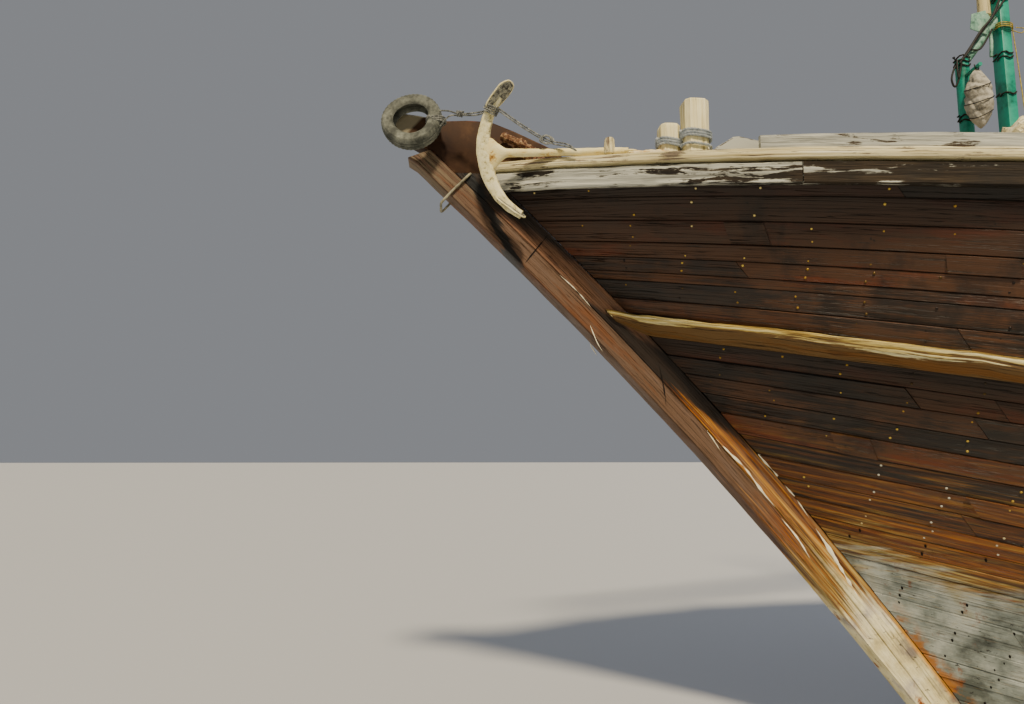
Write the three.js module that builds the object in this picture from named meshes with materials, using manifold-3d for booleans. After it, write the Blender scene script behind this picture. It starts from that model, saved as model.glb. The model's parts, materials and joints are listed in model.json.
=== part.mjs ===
// A wooden trading dhow of the double-ended boom type, afloat and unladen, with its lateen yard hoisted
// and the sail furled on it. Millimetres; +X is forward, +Y is port, +Z is up.
// The origin is on the centreline amidships, at the water.
import * as THREE from 'three';
import { mergeVertices } from 'three/addons/utils/BufferGeometryUtils.js';
import Module from 'manifold-3d';

const wasm = await Module();
wasm.setup();

const RAD = Math.PI / 180;
const GAP = 0.4;                     // between pieces that touch

// Backbone: every stem edge is x(z) = a + b z + c z^2, in metres, and so is the sternpost's forward edge.
const RABBET = [7.10, 0.712, 0.0276];
const STEM_SEAM = [7.42, 0.691, 0.0321];
const STEM_FACE = [7.54, 0.759, 0.0257];
const STERN_RABBET = [-10.03, -0.36, 0];
const SIDING = 300;                  // thickness of keel, stem and sternpost
const KEEL_TOP = -1750;
const KEEL_BOTTOM = -2050;
const POST_DEPTH = 300;              // sternpost, fore and aft
const HEAD_SIDING = 240;             // stem-head board

// Hull: a strake is a line of constant v, from the keel rabbet at v = 0 to the rail at v = 1.
const MID_X = -1000;                 // widest station
const RAIL_BOW = 5800;
const RAIL_STERN = 5000;
const DECK_V = 0.885;
const PAINT_V = 0.49;
const WALE_V = [0.779, 0.808];
// Midship section, from keel to rail: share of the girth, height, half-breadth beyond the keel's side.
const MIDSHIP = [
  [0.00, -1750, 0], [0.14, -1300, 1100], [0.28, -800, 2200], [0.40, -200, 2960],
  [0.49, 350, 3270], [0.60, 1050, 3430], [0.70, 1700, 3520], [0.779, 2265, 3565],
  [0.808, 2485, 3575], [0.885, 3230, 3590], [1.00, 4300, 3600],
];
const ROWS = MIDSHIP.map(row => row[0]);
const STATIONS_FORE = [0, 0.14, 0.28, 0.42, 0.54, 0.64, 0.73, 0.80, 0.86, 0.91, 0.95, 0.98, 1];
const STATIONS_AFT = [0, 0.16, 0.32, 0.46, 0.58, 0.68, 0.77, 0.84, 0.90, 0.95, 1];

const BULWARK = 120;                 // thickness
const RAIL_THICK = 95;
const RAIL_OUT = 85;                 // the rail's overhang outside, and inside
const RAIL_IN = 180;
const RAIL_STRAKE = [55, 215];       // the strake under the rail: how far it stands out, and its depth
const WALE_OUT = 110;
const DECK_THICK = 50;

// Rig
const MAST = { x: 2600, rake: 8, truck: 16200, foot: 200, top: 95 };
const YARD = { z: 12500, slope: 25, fore: 8400, aft: 13000, mid: 150, tip: 55, side: 390 };
const SAIL = { fore: 7600, aft: 12000, radius: 210 };

// Steering and drive
const RUDDER = { axisBehindPost: 70, foreEdge: 25, thick: 120, chord: 1500, pin: 20, hole: 20.7 };
const APERTURE = { depth: 650, low: -1690, high: -520 };
const PROP = { x: -10240, z: -1100, radius: 450, hub: 80, blades: 4 };
const RUDDER_TILT = Math.atan(-STERN_RABBET[1]);

// Colours
const finish = (color, roughness, metalness = 0) => new THREE.MeshStandardMaterial({ color, roughness, metalness });
const TEAK = finish('#4a2c18', 0.45);
const STEM_WOOD = finish('#5a3a24', 0.6);
const WALE_WOOD = finish('#a5824f', 0.7);
const RAIL_PAINT = finish('#cfc39c', 0.75);
const BARE_DECK = finish('#8c7454', 0.8);
const LIME = finish('#a9aba3', 0.8);
const SPAR = finish('#7d5a34', 0.6);
const HOUSE_PAINT = finish('#d9dcd2', 0.6);
const TEAL = finish('#1f8f7c', 0.45);
const IRON = finish('#c2b78c', 0.7, 0.3);
const STEEL = finish('#5c6064', 0.5, 0.8);
const BRONZE = finish('#8c6d3a', 0.4, 0.9);
const RUBBER = finish('#4a4c49', 0.9);
const CANVAS = finish('#b5b2a6', 0.95);
const ROPE = finish('#8d8d85', 0.95);

const boat = new THREE.Group();

function piece(name, shape, material) {
  const geometry = shape instanceof THREE.BufferGeometry ? shape : toGeometry(shape);
  const mesh = new THREE.Mesh(geometry, material);
  mesh.name = name;
  boat.add(mesh);
}

// Closed meshes and solids

function bare(geometry) {
  const copy = geometry.clone();
  for (const name of ['normal', 'uv']) copy.deleteAttribute(name);
  return mergeVertices(copy, 1e-3);
}

function toSolid(geometry) {
  const merged = bare(geometry);
  return new wasm.Manifold(new wasm.Mesh({
    numProp: 3,
    vertProperties: new Float32Array(merged.attributes.position.array),
    triVerts: new Uint32Array(merged.index.array),
  }));
}

function toGeometry(solid) {
  const { vertProperties, triVerts } = solid.getMesh();
  const geometry = new THREE.BufferGeometry();
  geometry.setAttribute('position', new THREE.BufferAttribute(vertProperties, 3));
  geometry.setIndex(new THREE.BufferAttribute(triVerts, 1));
  return geometry;
}

const join = (...geometries) => geometries.map(asSolid).reduce((all, next) => all.add(next));
const asSolid = shape => (shape instanceof THREE.BufferGeometry ? toSolid(shape) : shape);
const cut = (shape, ...tools) => tools.map(asSolid).reduce((all, tool) => all.subtract(tool), asSolid(shape));

// A solid between rings of points: point(i, j) for ring i and place j, each ring mirrored about its middle,
// so that the ends are closed by strips between place j and its opposite.
function rings(count, places, point) {
  const positions = [];
  const index = [];
  for (let i = 0; i < count; i++) for (let j = 0; j < places; j++) positions.push(...point(i, j));
  const at = (i, j) => i * places + (j % places);
  const quad = (a, b, c, d) => index.push(a, b, c, a, c, d);
  for (let i = 0; i + 1 < count; i++) {
    for (let j = 0; j < places; j++) {
      const corners = [at(i, j), at(i + 1, j), at(i + 1, j + 1), at(i, j + 1)];
      if (j < places / 2) quad(...corners);
      else quad(corners[1], corners[2], corners[3], corners[0]);
    }
  }
  for (let j = 0; j + 1 < places / 2; j++) {
    const k = places - 1 - j;
    quad(at(0, j), at(0, j + 1), at(0, k - 1), at(0, k));
    quad(at(count - 1, j + 1), at(count - 1, j), at(count - 1, k), at(count - 1, k - 1));
  }
  const geometry = new THREE.BufferGeometry();
  geometry.setAttribute('position', new THREE.Float32BufferAttribute(positions, 3));
  geometry.setIndex(index);
  return facingOut(geometry);
}

function facingOut(geometry) {
  const p = geometry.attributes.position;
  const index = geometry.index.array;
  const corner = k => new THREE.Vector3().fromBufferAttribute(p, k);
  let volume = 0;
  for (let t = 0; t < index.length; t += 3) {
    volume += corner(index[t]).dot(corner(index[t + 1]).cross(corner(index[t + 2])));
  }
  if (volume < 0) for (let t = 0; t < index.length; t += 3) [index[t], index[t + 1]] = [index[t + 1], index[t]];
  return geometry;
}

function mirrored(geometry) {
  const copy = bare(geometry);
  copy.scale(1, -1, 1);
  return facingOut(copy);
}

// A profile of [x, z] points in the centre plane, thick across it.
function slab(points, thick, y = 0) {
  const shape = new THREE.Shape(points.map(([x, z]) => new THREE.Vector2(x, z)));
  const geometry = new THREE.ExtrudeGeometry(shape, { depth: thick, bevelEnabled: false });
  return geometry.rotateX(90 * RAD).translate(0, y + thick / 2, 0);
}

// A profile of [x, y] points, thick upwards from z.
function plate(points, z, thick) {
  const shape = new THREE.Shape(points.map(([x, y]) => new THREE.Vector2(x, y)));
  return new THREE.ExtrudeGeometry(shape, { depth: thick, bevelEnabled: false }).translate(0, 0, z);
}

const block = (x0, x1, y0, y1, z0, z1) => new THREE.BoxGeometry(x1 - x0, y1 - y0, z1 - z0)
  .translate((x0 + x1) / 2, (y0 + y1) / 2, (z0 + z1) / 2);

// A straight round bar between two points.
function bar(from, to, r0, r1 = r0, sides = 12) {
  const a = new THREE.Vector3(...from);
  const b = new THREE.Vector3(...to);
  const geometry = new THREE.CylinderGeometry(r1, r0, a.distanceTo(b), sides);
  const turn = new THREE.Quaternion().setFromUnitVectors(new THREE.Vector3(0, 1, 0), b.clone().sub(a).normalize());
  return geometry.applyQuaternion(turn).translate(...a.add(b).multiplyScalar(0.5).toArray());
}

// A round bar along a curve through points.
function rod(points, radius, sides = 8, steps = 12) {
  const curve = new THREE.CatmullRomCurve3(points.map(p => new THREE.Vector3(...p)));
  const angles = [...Array(sides).keys()].map(k => 2 * Math.PI * k / sides);
  const ring = new THREE.Shape(angles.map(a => new THREE.Vector2(radius * Math.cos(a), radius * Math.sin(a))));
  return new THREE.ExtrudeGeometry(ring, { steps, bevelEnabled: false, extrudePath: curve });
}

// Hull surface

const curveX = ([a, b, c], z) => 1000 * a + b * z + c * z * z / 1000;
const mix = (a, b, t) => a + (b - a) * t;

// Height and half-breadth of the midship section at v.
function midship(v) {
  const k = Math.max(1, MIDSHIP.findIndex(row => row[0] >= v - 1e-9));
  const [below, above] = [MIDSHIP[k - 1], MIDSHIP[k]];
  const t = (v - below[0]) / (above[0] - below[0]);
  return [mix(below[1], above[1], t), mix(below[2], above[2], t)];
}

// A point on the port side: s runs from 0 amidships to 1 at the stem, or to -1 at the sternpost.
function hull(s, v) {
  const [midZ, breadth] = midship(v);
  const fore = s >= 0;
  const t = Math.abs(s);
  const endZ = mix(KEEL_TOP, fore ? RAIL_BOW : RAIL_STERN, v);
  const endX = curveX(fore ? RABBET : STERN_RABBET, endZ);
  const fullness = fore ? mix(1.7, 3.0, v) : mix(1.5, 3.1, v);
  return [
    mix(MID_X, endX, t),
    SIDING / 2 + breadth * (1 - t ** fullness),
    mix(midZ, endZ, t ** (fore ? 1.6 : 1.9)),
  ];
}

const STATIONS = [...STATIONS_AFT.slice(1).reverse().map(t => -t), ...STATIONS_FORE];
const rowsBetween = (low, high) => ROWS.filter(v => v >= low - 1e-9 && v <= high + 1e-9);

function hullSolid(low, high, lift) {
  const rows = rowsBetween(low, high);
  return rings(STATIONS.length, rows.length * 2, (i, j) => {
    const port = j < rows.length;
    const v = rows[port ? j : rows.length * 2 - 1 - j];
    const [x, y, z] = hull(STATIONS[i], v);
    return [x, port ? y : -y, z + lift];
  });
}

// A strip along the port side: section(s) gives its corners, outer ones first and upwards, then inner ones down.
function strip(stations, section) {
  const corners = section(stations[0]).length;
  const sections = stations.map(section);
  return rings(stations.length, corners, (i, j) => sections[i][j]);
}

const stationsBetween = (low, high) => STATIONS.filter(s => s >= low && s <= high);
const innerY = y => Math.max(y - BULWARK * 1.25, HEAD_SIDING / 2 + 3 * GAP);

// Stanchions inside the bulwark: how far apart and how wide along s, and their depth
const RIB = { every: 0.075, width: 0.011, last: 0.83, depth: 95, sunk: 5 };

function bulwark() {
  const wall = strip(STATIONS, s => {
    const outer = rowsBetween(DECK_V, 1).map(v => hull(s, v));
    const lifted = outer.map(([x, y, z]) => [x, y, z + 2 * GAP]);
    return [...lifted, ...lifted.map(([x, y, z]) => [x, innerY(y), z]).reverse()];
  });
  const ribs = [];
  for (let middle = -RIB.last; middle <= RIB.last; middle += RIB.every) {
    ribs.push(strip([middle - RIB.width / 2, middle + RIB.width / 2], s => {
      const [[footX, footY, footZ], [topX, topY, topZ]] = [DECK_V, 1].map(v => hull(s, v));
      const [foot, top] = [[footX, innerY(footY) + RIB.sunk, footZ], [topX, innerY(topY) + RIB.sunk, topZ + 2 * GAP]];
      return [foot, top, ...[top, foot].map(([x, y, z]) => [x, y - RIB.sunk - RIB.depth, z])];
    }));
  }
  return toGeometry(join(wall, cut(join(...ribs), deckBelow)));
}

// On the rail forward: a washboard between two stations, and a chock just ahead of it
const WASHBOARD = { from: 0.304, to: 0.832, high: 115, inset: 25, thick: 45, sunk: 10 };
const CHOCK = { base: [9770, 10270], top: [9810, 10235], high: 165, thick: 130, y: 1490, sunk: 40 };

function capRail() {
  const { from, to, high: rise, inset, thick, sunk } = WASHBOARD;
  const board = strip([from, ...STATIONS.filter(s => s > from && s < to), to], s => {
    const [x, y, z] = hull(s, 1);
    const [low, high] = [z + RAIL_THICK - sunk, z + RAIL_THICK + rise];
    const outer = y + RAIL_OUT - inset;
    return [[x, outer, low], [x, outer, high], [x, outer - thick, high], [x, outer - thick, low]];
  });
  const foot = CHOCK.base.map(x => [x, railTop(x) - CHOCK.sunk]);
  const top = CHOCK.top.map(x => [x, railTop(x) + CHOCK.high]);
  return toGeometry(join(railTimber(), board, slab([...foot, ...top.reverse()], CHOCK.thick, CHOCK.y)));
}

function railTimber() {
  return strip(STATIONS, s => {
    const [x, y, z] = hull(s, 1);
    const [stand, depth] = RAIL_STRAKE;
    const inside = Math.max(innerY(y) - RAIL_IN, HEAD_SIDING / 2 + 3 * GAP);
    const [under, low, high] = [z - depth, z + 3 * GAP, z + 3 * GAP + RAIL_THICK];
    return [[x, y + stand, under], [x, y + stand, z], [x, y + RAIL_OUT, low], [x, y + RAIL_OUT, high],
      [x, inside, high], [x, inside, low], [x, y + 2 * GAP, low], [x, y + 2 * GAP, under]];
  });
}

function wale() {
  return strip(STATIONS, s => {
    const [low, high] = WALE_V.map(v => hull(s, v));
    const out = ([x, y, z], distance) => [x, y + distance, z];
    return [out(low, WALE_OUT), out(high, WALE_OUT), out(high, 1.5 * GAP), out(low, 1.5 * GAP)];
  });
}

// Half-width inside the bulwarks at a station, and the deck's height there.
function deckEdge(s) {
  const [x, y, z] = hull(s, DECK_V);
  return [x, innerY(y) - 4, z + GAP];
}

function deckSlab() {
  const stations = stationsBetween(-0.97, 0.97);
  return rings(stations.length, 4, (i, j) => {
    const [x, y, z] = deckEdge(stations[i]);
    return [x, j < 2 ? y : -y, z + (j === 0 || j === 3 ? 0 : DECK_THICK)];
  });
}

// Deck height anywhere along the boat, by looking between stations.
function deckZ(x) {
  const edges = STATIONS.map(deckEdge);
  const k = Math.min(edges.length - 1, Math.max(1, edges.findIndex(edge => edge[0] >= x)));
  return mix(edges[k - 1][2], edges[k][2], (x - edges[k - 1][0]) / (edges[k][0] - edges[k - 1][0])) + DECK_THICK;
}

// Stem, keel and sternpost

const heights = (low, high, count) => [...Array(count + 1).keys()].map(k => mix(low, high, k / count));
const SEAM_ROWS = heights(-1000, RAIL_BOW, 8);
const SEAM_TOP = 6040;

function stem() {
  const rabbet = ROWS.map(v => hull(1, v)).map(([x, , z]) => [x + GAP, z]);
  const seam = SEAM_ROWS.map(z => [curveX(STEM_SEAM, z), z]).reverse();
  return slab([[5900 + GAP, KEEL_BOTTOM], ...rabbet, ...seam, [6420, -1640], [6200, KEEL_BOTTOM]], SIDING);
}

function falseStem() {
  const seam = [...SEAM_ROWS, SEAM_TOP].map(z => [curveX(STEM_SEAM, z) + GAP, z]);
  const face = heights(-1000, 6000, 10).map(z => [curveX(STEM_FACE, z), z]).reverse();
  return slab([...seam, ...face], SIDING);
}

function stemHead() {
  const foot = RAIL_BOW + GAP;
  const seam = [foot, SEAM_TOP].map(z => [curveX(STEM_SEAM, z), z]);
  const tip = [[13080, 6200], [13160, 6290], [13150, 6450]];
  const top = [[12620, 6375], [12150, 6385], [11630, 6170], [11380, 6060]];
  return slab([...seam, ...tip, ...top, [11380, foot]], HEAD_SIDING);
}

const sternFace = z => curveX(STERN_RABBET, z) - POST_DEPTH;

function keel() {
  return block(hull(-1, 0)[0] + GAP, 5900, -SIDING / 2, SIDING / 2, KEEL_BOTTOM, KEEL_TOP - GAP);
}

// The rudder's own frame: its axis is the local Z through the local origin, which lies at the keel's height.
function raked(shape) {
  const geometry = shape instanceof THREE.BufferGeometry ? shape : toGeometry(shape);
  return geometry.rotateY(-RUDDER_TILT).translate(sternFace(KEEL_TOP) - RUDDER.axisBehindPost, 0, KEEL_TOP);
}

const GUDGEONS = [-60, 2500, 5500];
const upAxis = (low, high, radius, sides = 16) => bar([0, 0, low], [0, 0, high], radius, radius, sides);

function sternpost() {
  const rabbet = ROWS.map(v => hull(-1, v)).map(([x, , z]) => [x - GAP, z]);
  const top = 5150;
  const post = slab([...rabbet, [curveX(STERN_RABBET, top), top], [sternFace(top), top],
    [sternFace(KEEL_BOTTOM), KEEL_BOTTOM], [rabbet[0][0], KEEL_BOTTOM]], SIDING);
  const lugs = GUDGEONS.map(z => cut(join(block(0, 160, -45, 45, z - 45, z + 45), upAxis(z - 45, z + 45, 45)),
    upAxis(z - 60, z + 60, RUDDER.hole)));
  const tube = bar([PROP.x + 220, 0, PROP.z], [sternFace(PROP.z) + 150, 0, PROP.z], 95, 110, 20);
  return join(post, ...lugs.map(raked), tube);
}

function rudder() {
  const { foreEdge, chord, thick, pin } = RUDDER;
  const outline = [[foreEdge, -150], [foreEdge, 6650], [-260, 6650], [-420, 3200], [-chord * 0.8, 1900],
    [-chord, 900], [-chord, -40], [-chord + 200, -150]];
  const blade = slab(outline, thick);
  const notches = GUDGEONS.map(z => block(-62, 60, -80, 80, z - 53, z + 53));
  const rise = z => (z - KEEL_TOP) / Math.cos(RUDDER_TILT);
  const hole = block(-APERTURE.depth, 60, -80, 80, rise(APERTURE.low), rise(APERTURE.high));
  const pins = GUDGEONS.map(z => upAxis(z - 70, z + 70, pin));
  const yoke = block(-200, -60, -430, 430, 6420, 6530);
  return raked(join(cut(blade, ...notches, hole), ...pins, yoke));
}

function propeller() {
  const { x, z, radius, hub, blades } = PROP;
  const blade = () => new THREE.BoxGeometry(26, radius - 40, 260).rotateY(62 * RAD).translate(0, 40 + (radius - 40) / 2, 0);
  const round = bar([-60, 0, 0], [60, 0, 0], radius, radius, 40);
  const around = [...Array(blades).keys()].map(k => blade().rotateX(2 * Math.PI * k / blades));
  const core = bar([220 - 1.5 * GAP, 0, 0], [-150, 0, 0], hub, hub * 0.6, 20);
  return toGeometry(join(...around).intersect(toSolid(round)).add(toSolid(core))).translate(x, 0, z);
}

// Wheelhouse aft, hollow, with a door on each side
const HOUSE = { fore: -5600, aft: -8600, half: 1500, wall: 60, height: 2150, roof: 70, over: 250 };
const DOOR = { from: -6900, width: 700, thick: 45, height: 1750, sill: 120, play: 6 };
const HOUSE_FLOOR = Math.max(deckZ(HOUSE.fore), deckZ(HOUSE.aft)) + 60;
const WINDOW = { low: 1150, high: 1750 };
const DOOR_LOW = HOUSE_FLOOR + DOOR.sill + DOOR.play;
const DOOR_HIGH = HOUSE_FLOOR + DOOR.sill + DOOR.height - DOOR.play;
const DOOR_HINGES = [DOOR_LOW + 200, DOOR_HIGH - 200];

function wheelhouse() {
  const { fore, aft, half, wall, height } = HOUSE;
  const z = HOUSE_FLOOR;
  const hinge = DOOR.from + DOOR.width;
  const windowCut = (x0, x1, y0, y1) => block(x0, x1, y0, y1, z + WINDOW.low, z + WINDOW.high);
  const front = cut(block(fore - wall, fore, -half, half, z + GAP, z + height),
    ...[-1, 0, 1].map(k => windowCut(fore - 2 * wall, fore + wall, k * 900 - 330, k * 900 + 330)));
  const back = cut(block(aft, aft + wall, -half, half, z + GAP, z + height),
    ...[-1, 1].map(k => windowCut(aft - wall, aft + 2 * wall, k * 700 - 330, k * 700 + 330)));
  const side = cut(block(aft + wall + GAP, fore - wall - GAP, half - wall, half, z + GAP, z + height),
    block(DOOR.from, hinge, half - 2 * wall, half + wall, z + DOOR.sill, z + DOOR.sill + DOOR.height),
    windowCut(aft + 350, aft + 1350, half - 2 * wall, half + wall));
  const lugs = DOOR_HINGES.map(at => block(hinge - 33, hinge + 60, half - 3, half + 28, at - 85, at - 60 - GAP));
  piece('wheelhouse_front', front, HOUSE_PAINT);
  piece('wheelhouse_back', back, HOUSE_PAINT);
  piece('wheelhouse_side_port', join(side, ...lugs), HOUSE_PAINT);
  piece('wheelhouse_side_starboard', mirrored(toGeometry(join(side, ...lugs))), HOUSE_PAINT);
  piece('wheelhouse_roof', block(aft - 350, fore + 300, -half - HOUSE.over, half + HOUSE.over,
    z + height + GAP, z + height + HOUSE.roof), HOUSE_PAINT);
  const base = [[fore + 80, -half - 80], [fore + 80, half + 80], [aft - 80, half + 80], [aft - 80, -half - 80]];
  const footing = cut(plate(base, z - 700, 700), hullSolid(0, DECK_V, DECK_THICK + 2 * GAP));
  piece('wheelhouse_floor', footing, BARE_DECK);
}

function doors() {
  const { half, wall } = HOUSE;
  const hinge = DOOR.from + DOOR.width;
  const low = DOOR_LOW;
  const axisY = half + 14;
  const leaf = block(DOOR.from + DOOR.play, hinge - DOOR.play, half - wall + 5, half - wall + 5 + DOOR.thick, low, DOOR_HIGH);
  const pins = DOOR_HINGES.map(z => join(
    bar([hinge - 20, axisY, z - 60], [hinge - 20, axisY, z + 60], 12),
    block(hinge - 90, hinge - 20, half - 12, half + 8, z - 50, z + 50)));
  const handle = rod([[DOOR.from + 60, half - 12, low + 800], [DOOR.from + 60, half + 45, low + 800],
    [DOOR.from + 60, half + 45, low + 930], [DOOR.from + 60, half - 12, low + 930]], 9, 6, 12);
  return join(leaf, ...pins, handle);
}

function helmStand() {
  const x = HOUSE.fore - 900;
  return join(block(x - 110, x + 110, -160, 160, HOUSE_FLOOR + GAP, HOUSE_FLOOR + 980),
    bar([x - 110, 0, HOUSE_FLOOR + 850], [x - 170, 0, HOUSE_FLOOR + 850], 40));
}

function helmWheel() {
  const x = HOUSE.fore - 900 - 170 - GAP;
  const rim = new THREE.TorusGeometry(330, 20, 8, 32).rotateY(90 * RAD);
  const hub = bar([0, 0, 0], [-90, 0, 0], 60);
  const spokes = [0, 1, 2, 3, 4, 5, 6, 7].map(k => bar([-45, 0, 0],
    [-45, 430 * Math.cos(k * 45 * RAD), 430 * Math.sin(k * 45 * RAD)], 13, 13, 8));
  return toGeometry(join(rim.translate(-45, 0, 0), hub, ...spokes)).translate(x, 0, HOUSE_FLOOR + 850);
}

// Foredeck and rail fittings

function bitt(x, y, width, low, high) {
  return block(x - width / 2, x + width / 2, y - width / 2, y + width / 2, low, high);
}

// The anchor's own frame: its crown at the origin, its shank running aft along local -X. Its arms are bent by use:
// lean turns them on the shank, and roll turns the whole anchor about its shank.
const ANCHOR = { crown: [12300, 450, 5893.1], turn: 20, dip: 5, roll: 13, lean: 5, shank: 1500 };
const ARMS = { radius: 770, half: 61, width: 165, thick: 60 };

function anchor() {
  const { crown, turn, dip, roll, lean, shank } = ANCHOR;
  const { radius, half, width, thick } = ARMS;
  const arms = new THREE.Shape();
  arms.absarc(-radius, 0, radius, half * RAD, -half * RAD, true);
  arms.absarc(-radius - width * 0.55, 0, radius - width * 0.4, -half * RAD, half * RAD, false);
  const crescent = new THREE.ExtrudeGeometry(arms, { depth: thick, bevelEnabled: false, curveSegments: 14 })
    .rotateX(90 * RAD).translate(0, thick / 2, 0);
  const web = slab([[-20, 130], [-330, 34], [-330, -34], [-20, -130]], thick * 0.8);
  const end = angle => [radius * Math.cos(angle * RAD) - radius, radius * Math.sin(angle * RAD)];
  const fluke = side => {
    const [x, z] = end(side * (half - 11));
    return new THREE.BoxGeometry(60, 210, 290).rotateY(side * (11 - half) * RAD).translate(x - 20, 0, z);
  };
  const stem = bar([-30, 0, 0], [-shank, 0, 0], 42, 34, 10);
  const ring = new THREE.TorusGeometry(75, 13, 8, 20).translate(-shank - 40, 0, 0);
  const bent = toGeometry(join(crescent, web, fluke(1), fluke(-1))).rotateY(lean * RAD);
  return toGeometry(join(bent, stem, ring.rotateX(90 * RAD)))
    .rotateX(-roll * RAD).rotateY(-dip * RAD).rotateZ(-turn * RAD).translate(...crown);
}

function tyre() {
  const profile = [[180, -60], [215, -88], [275, -88], [305, -55], [312, 0], [305, 55], [275, 88], [215, 88],
    [180, 60], [200, 40], [255, 55], [285, 0], [255, -55], [200, -40], [180, -60]];
  const outline = profile.map(([r, a]) => new THREE.Vector2(r, a));
  return new THREE.LatheGeometry(outline, 32);
}

// A timber head on the rail: x, y, width, top
const BITTS = { tall: [10330, 1195, 230, 6160], short: [10545, 1095, 185, 5965] };
const railTop = x => {
  const tops = STATIONS.map(s => hull(s, 1));
  const k = tops.findIndex(point => point[0] >= x);
  const t = (x - tops[k - 1][0]) / (tops[k][0] - tops[k - 1][0]);
  return mix(tops[k - 1][2], tops[k][2], t) + 3 * GAP + RAIL_THICK;
};

function bowBitt([x, y, width, top]) {
  const head = bitt(x, y, width, 5000, top);
  return cut(head, capRailBelow);
}

// The space under the rail's top face, for cutting what stands on it
const capRailBelow = toSolid(rings(STATIONS.length, 4, (i, j) => {
  const [x, , z] = hull(STATIONS[i], 1);
  const high = z + 4 * GAP + RAIL_THICK;
  return [x, j < 2 ? 5000 : -5000, j === 0 || j === 3 ? KEEL_TOP : high];
}));
const deckBelow = toSolid(rings(STATIONS.length, 4, (i, j) => {
  const [x, , z] = hull(STATIONS[i], DECK_V);
  return [x, j < 2 ? 5000 : -5000, j === 0 || j === 3 ? -5000 : z + DECK_THICK + 2 * GAP];
}));

// It leans back on the head board, and is turned a little to the bow.
const TYRE = { lean: 15, turn: 10, at: [12950, 287.9, 6270] };

function tyreOnHead() {
  return tyre().rotateX(TYRE.lean * RAD).rotateZ(-TYRE.turn * RAD).translate(...TYRE.at);
}

// Foredeck: windlass, and the green post frame with its lamp pole and canvas bundle
const WINDLASS = { x: 8300, half: 700, rise: 520, radius: 150 };
const FRAME = { round: [6790, 75, 7370], square: [6285, 60, 90, 8300], brace: 45 };
const BUNDLE = { at: [6818, 262, 6787], half: 340, radius: 150, peg: 22, past: 340 };
const POLE = { x: 6470, radius: 70, top: 45, foot: 7800, height: 1500 };

function windlassFrame() {
  const { x, half, rise } = WINDLASS;
  const floor = deckZ(x);
  const axis = floor + rise;
  const cheek = side => block(x - 150, x + 150, side * half - 70, side * half + 70, floor - 300, axis + 220);
  const bed = block(x - 180, x + 180, -half, half, floor - 300, floor + 110);
  return cut(join(cheek(1), cheek(-1), bed), deckBelow, bar([x, -half - 100, axis], [x, half + 100, axis], 50.5, 50.5, 32));
}

function windlassBarrel() {
  const { x, half, rise, radius } = WINDLASS;
  const axis = deckZ(x) + rise;
  const across = (y0, y1, r, sides = 16) => bar([x, y0, axis], [x, y1, axis], r, r, sides);
  const whelps = [-1, 1].map(side => across(side * 560, side * 600, radius + 40, 8));
  return join(across(-half + 76, half - 76, radius, 8), across(-half - 60, half + 60, 50, 32), ...whelps);
}

function postFrame() {
  const [roundX, r, roundTop] = FRAME.round;
  const [squareX, w, depth, squareTop] = FRAME.square;
  const foot = deckZ(squareX) - 400;
  const posts = [bar([roundX, 0, foot], [roundX, 0, roundTop], r, r, 16),
    block(squareX - w, squareX + w, -depth, depth, foot, squareTop)];
  const low = bar([roundX, 0, 5000], [squareX, 0, 5000], FRAME.brace);
  const sole = block(squareX - 260, roundX + 260, -200, 200, foot, deckZ(roundX) + 60);
  const [bundleX, bundleY, bundleZ] = BUNDLE.at;
  const pegZ = bundleZ + BUNDLE.half + BUNDLE.peg + GAP;
  const pegEnd = BUNDLE.past / bundleY;
  const peg = bar([roundX, 0, pegZ], [mix(roundX, bundleX, pegEnd), BUNDLE.past, pegZ], BUNDLE.peg);
  return cut(join(...posts, brace(FRAME.brace), low, sole, peg), deckBelow);
}

function brace(radius) {
  const [roundX, , roundTop] = FRAME.round;
  const [squareX, , , squareTop] = FRAME.square;
  return bar([roundX, 0, roundTop - 60], [squareX, 0, squareTop - 380], radius);
}

// Its foot is notched over the brace.
const lampPole = () => {
  const { x, radius, top, foot, height } = POLE;
  return cut(bar([x, 0, foot], [x, 0, foot + height], radius, top), brace(FRAME.brace + 1.5 * GAP));
};

function canvasBundle() {
  const { at, half, radius } = BUNDLE;
  const profile = [0, 0.06, 0.2, 0.4, 0.6, 0.8, 0.94, 1]
    .map(t => new THREE.Vector2(radius * Math.sin(Math.PI * t) ** 0.7, half * (1 - 2 * t)));
  profile[0].x = profile[profile.length - 1].x = 0;
  return new THREE.LatheGeometry(profile.reverse(), 16).rotateX(90 * RAD).translate(...at);
}

// Mast and yard. The mast's own frame has its foot at the origin and its axis along Z.
const MAST_FOOT = deckZ(MAST.x) + 120;
const raking = shape => (shape instanceof THREE.BufferGeometry ? shape : toGeometry(shape))
  .rotateY(MAST.rake * RAD).translate(MAST.x, 0, MAST_FOOT);
const MAST_LENGTH = (MAST.truck - MAST_FOOT) / Math.cos(MAST.rake * RAD);
const alongMast = z => (z - MAST_FOOT) / Math.cos(MAST.rake * RAD);
const mastX = z => MAST.x + (z - MAST_FOOT) * Math.tan(MAST.rake * RAD);
const mastRadius = z => mix(MAST.foot, MAST.top, alongMast(z) / MAST_LENGTH);

function mast() {
  const pole = bar([0, 0, 0], [0, 0, MAST_LENGTH], MAST.foot, MAST.top, 20);
  const head = block(-210, 160, -130, 130, MAST_LENGTH - 1300, MAST_LENGTH - 800);
  return raking(join(pole, head));
}

function mastBed() {
  const { x, foot } = MAST;
  const timber = block(x - 900, x + 420, -330, 330, MAST_FOOT - 500, MAST_FOOT + 260);
  const post = block(x - 850, x - 640, -105, 105, MAST_FOOT, MAST_FOOT + 900);
  const socket = raking(bar([0, 0, -GAP], [0, 0, 900], foot + 0.7, foot + 0.7, 20));
  return cut(join(timber, post), socket, deckBelow);
}

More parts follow.
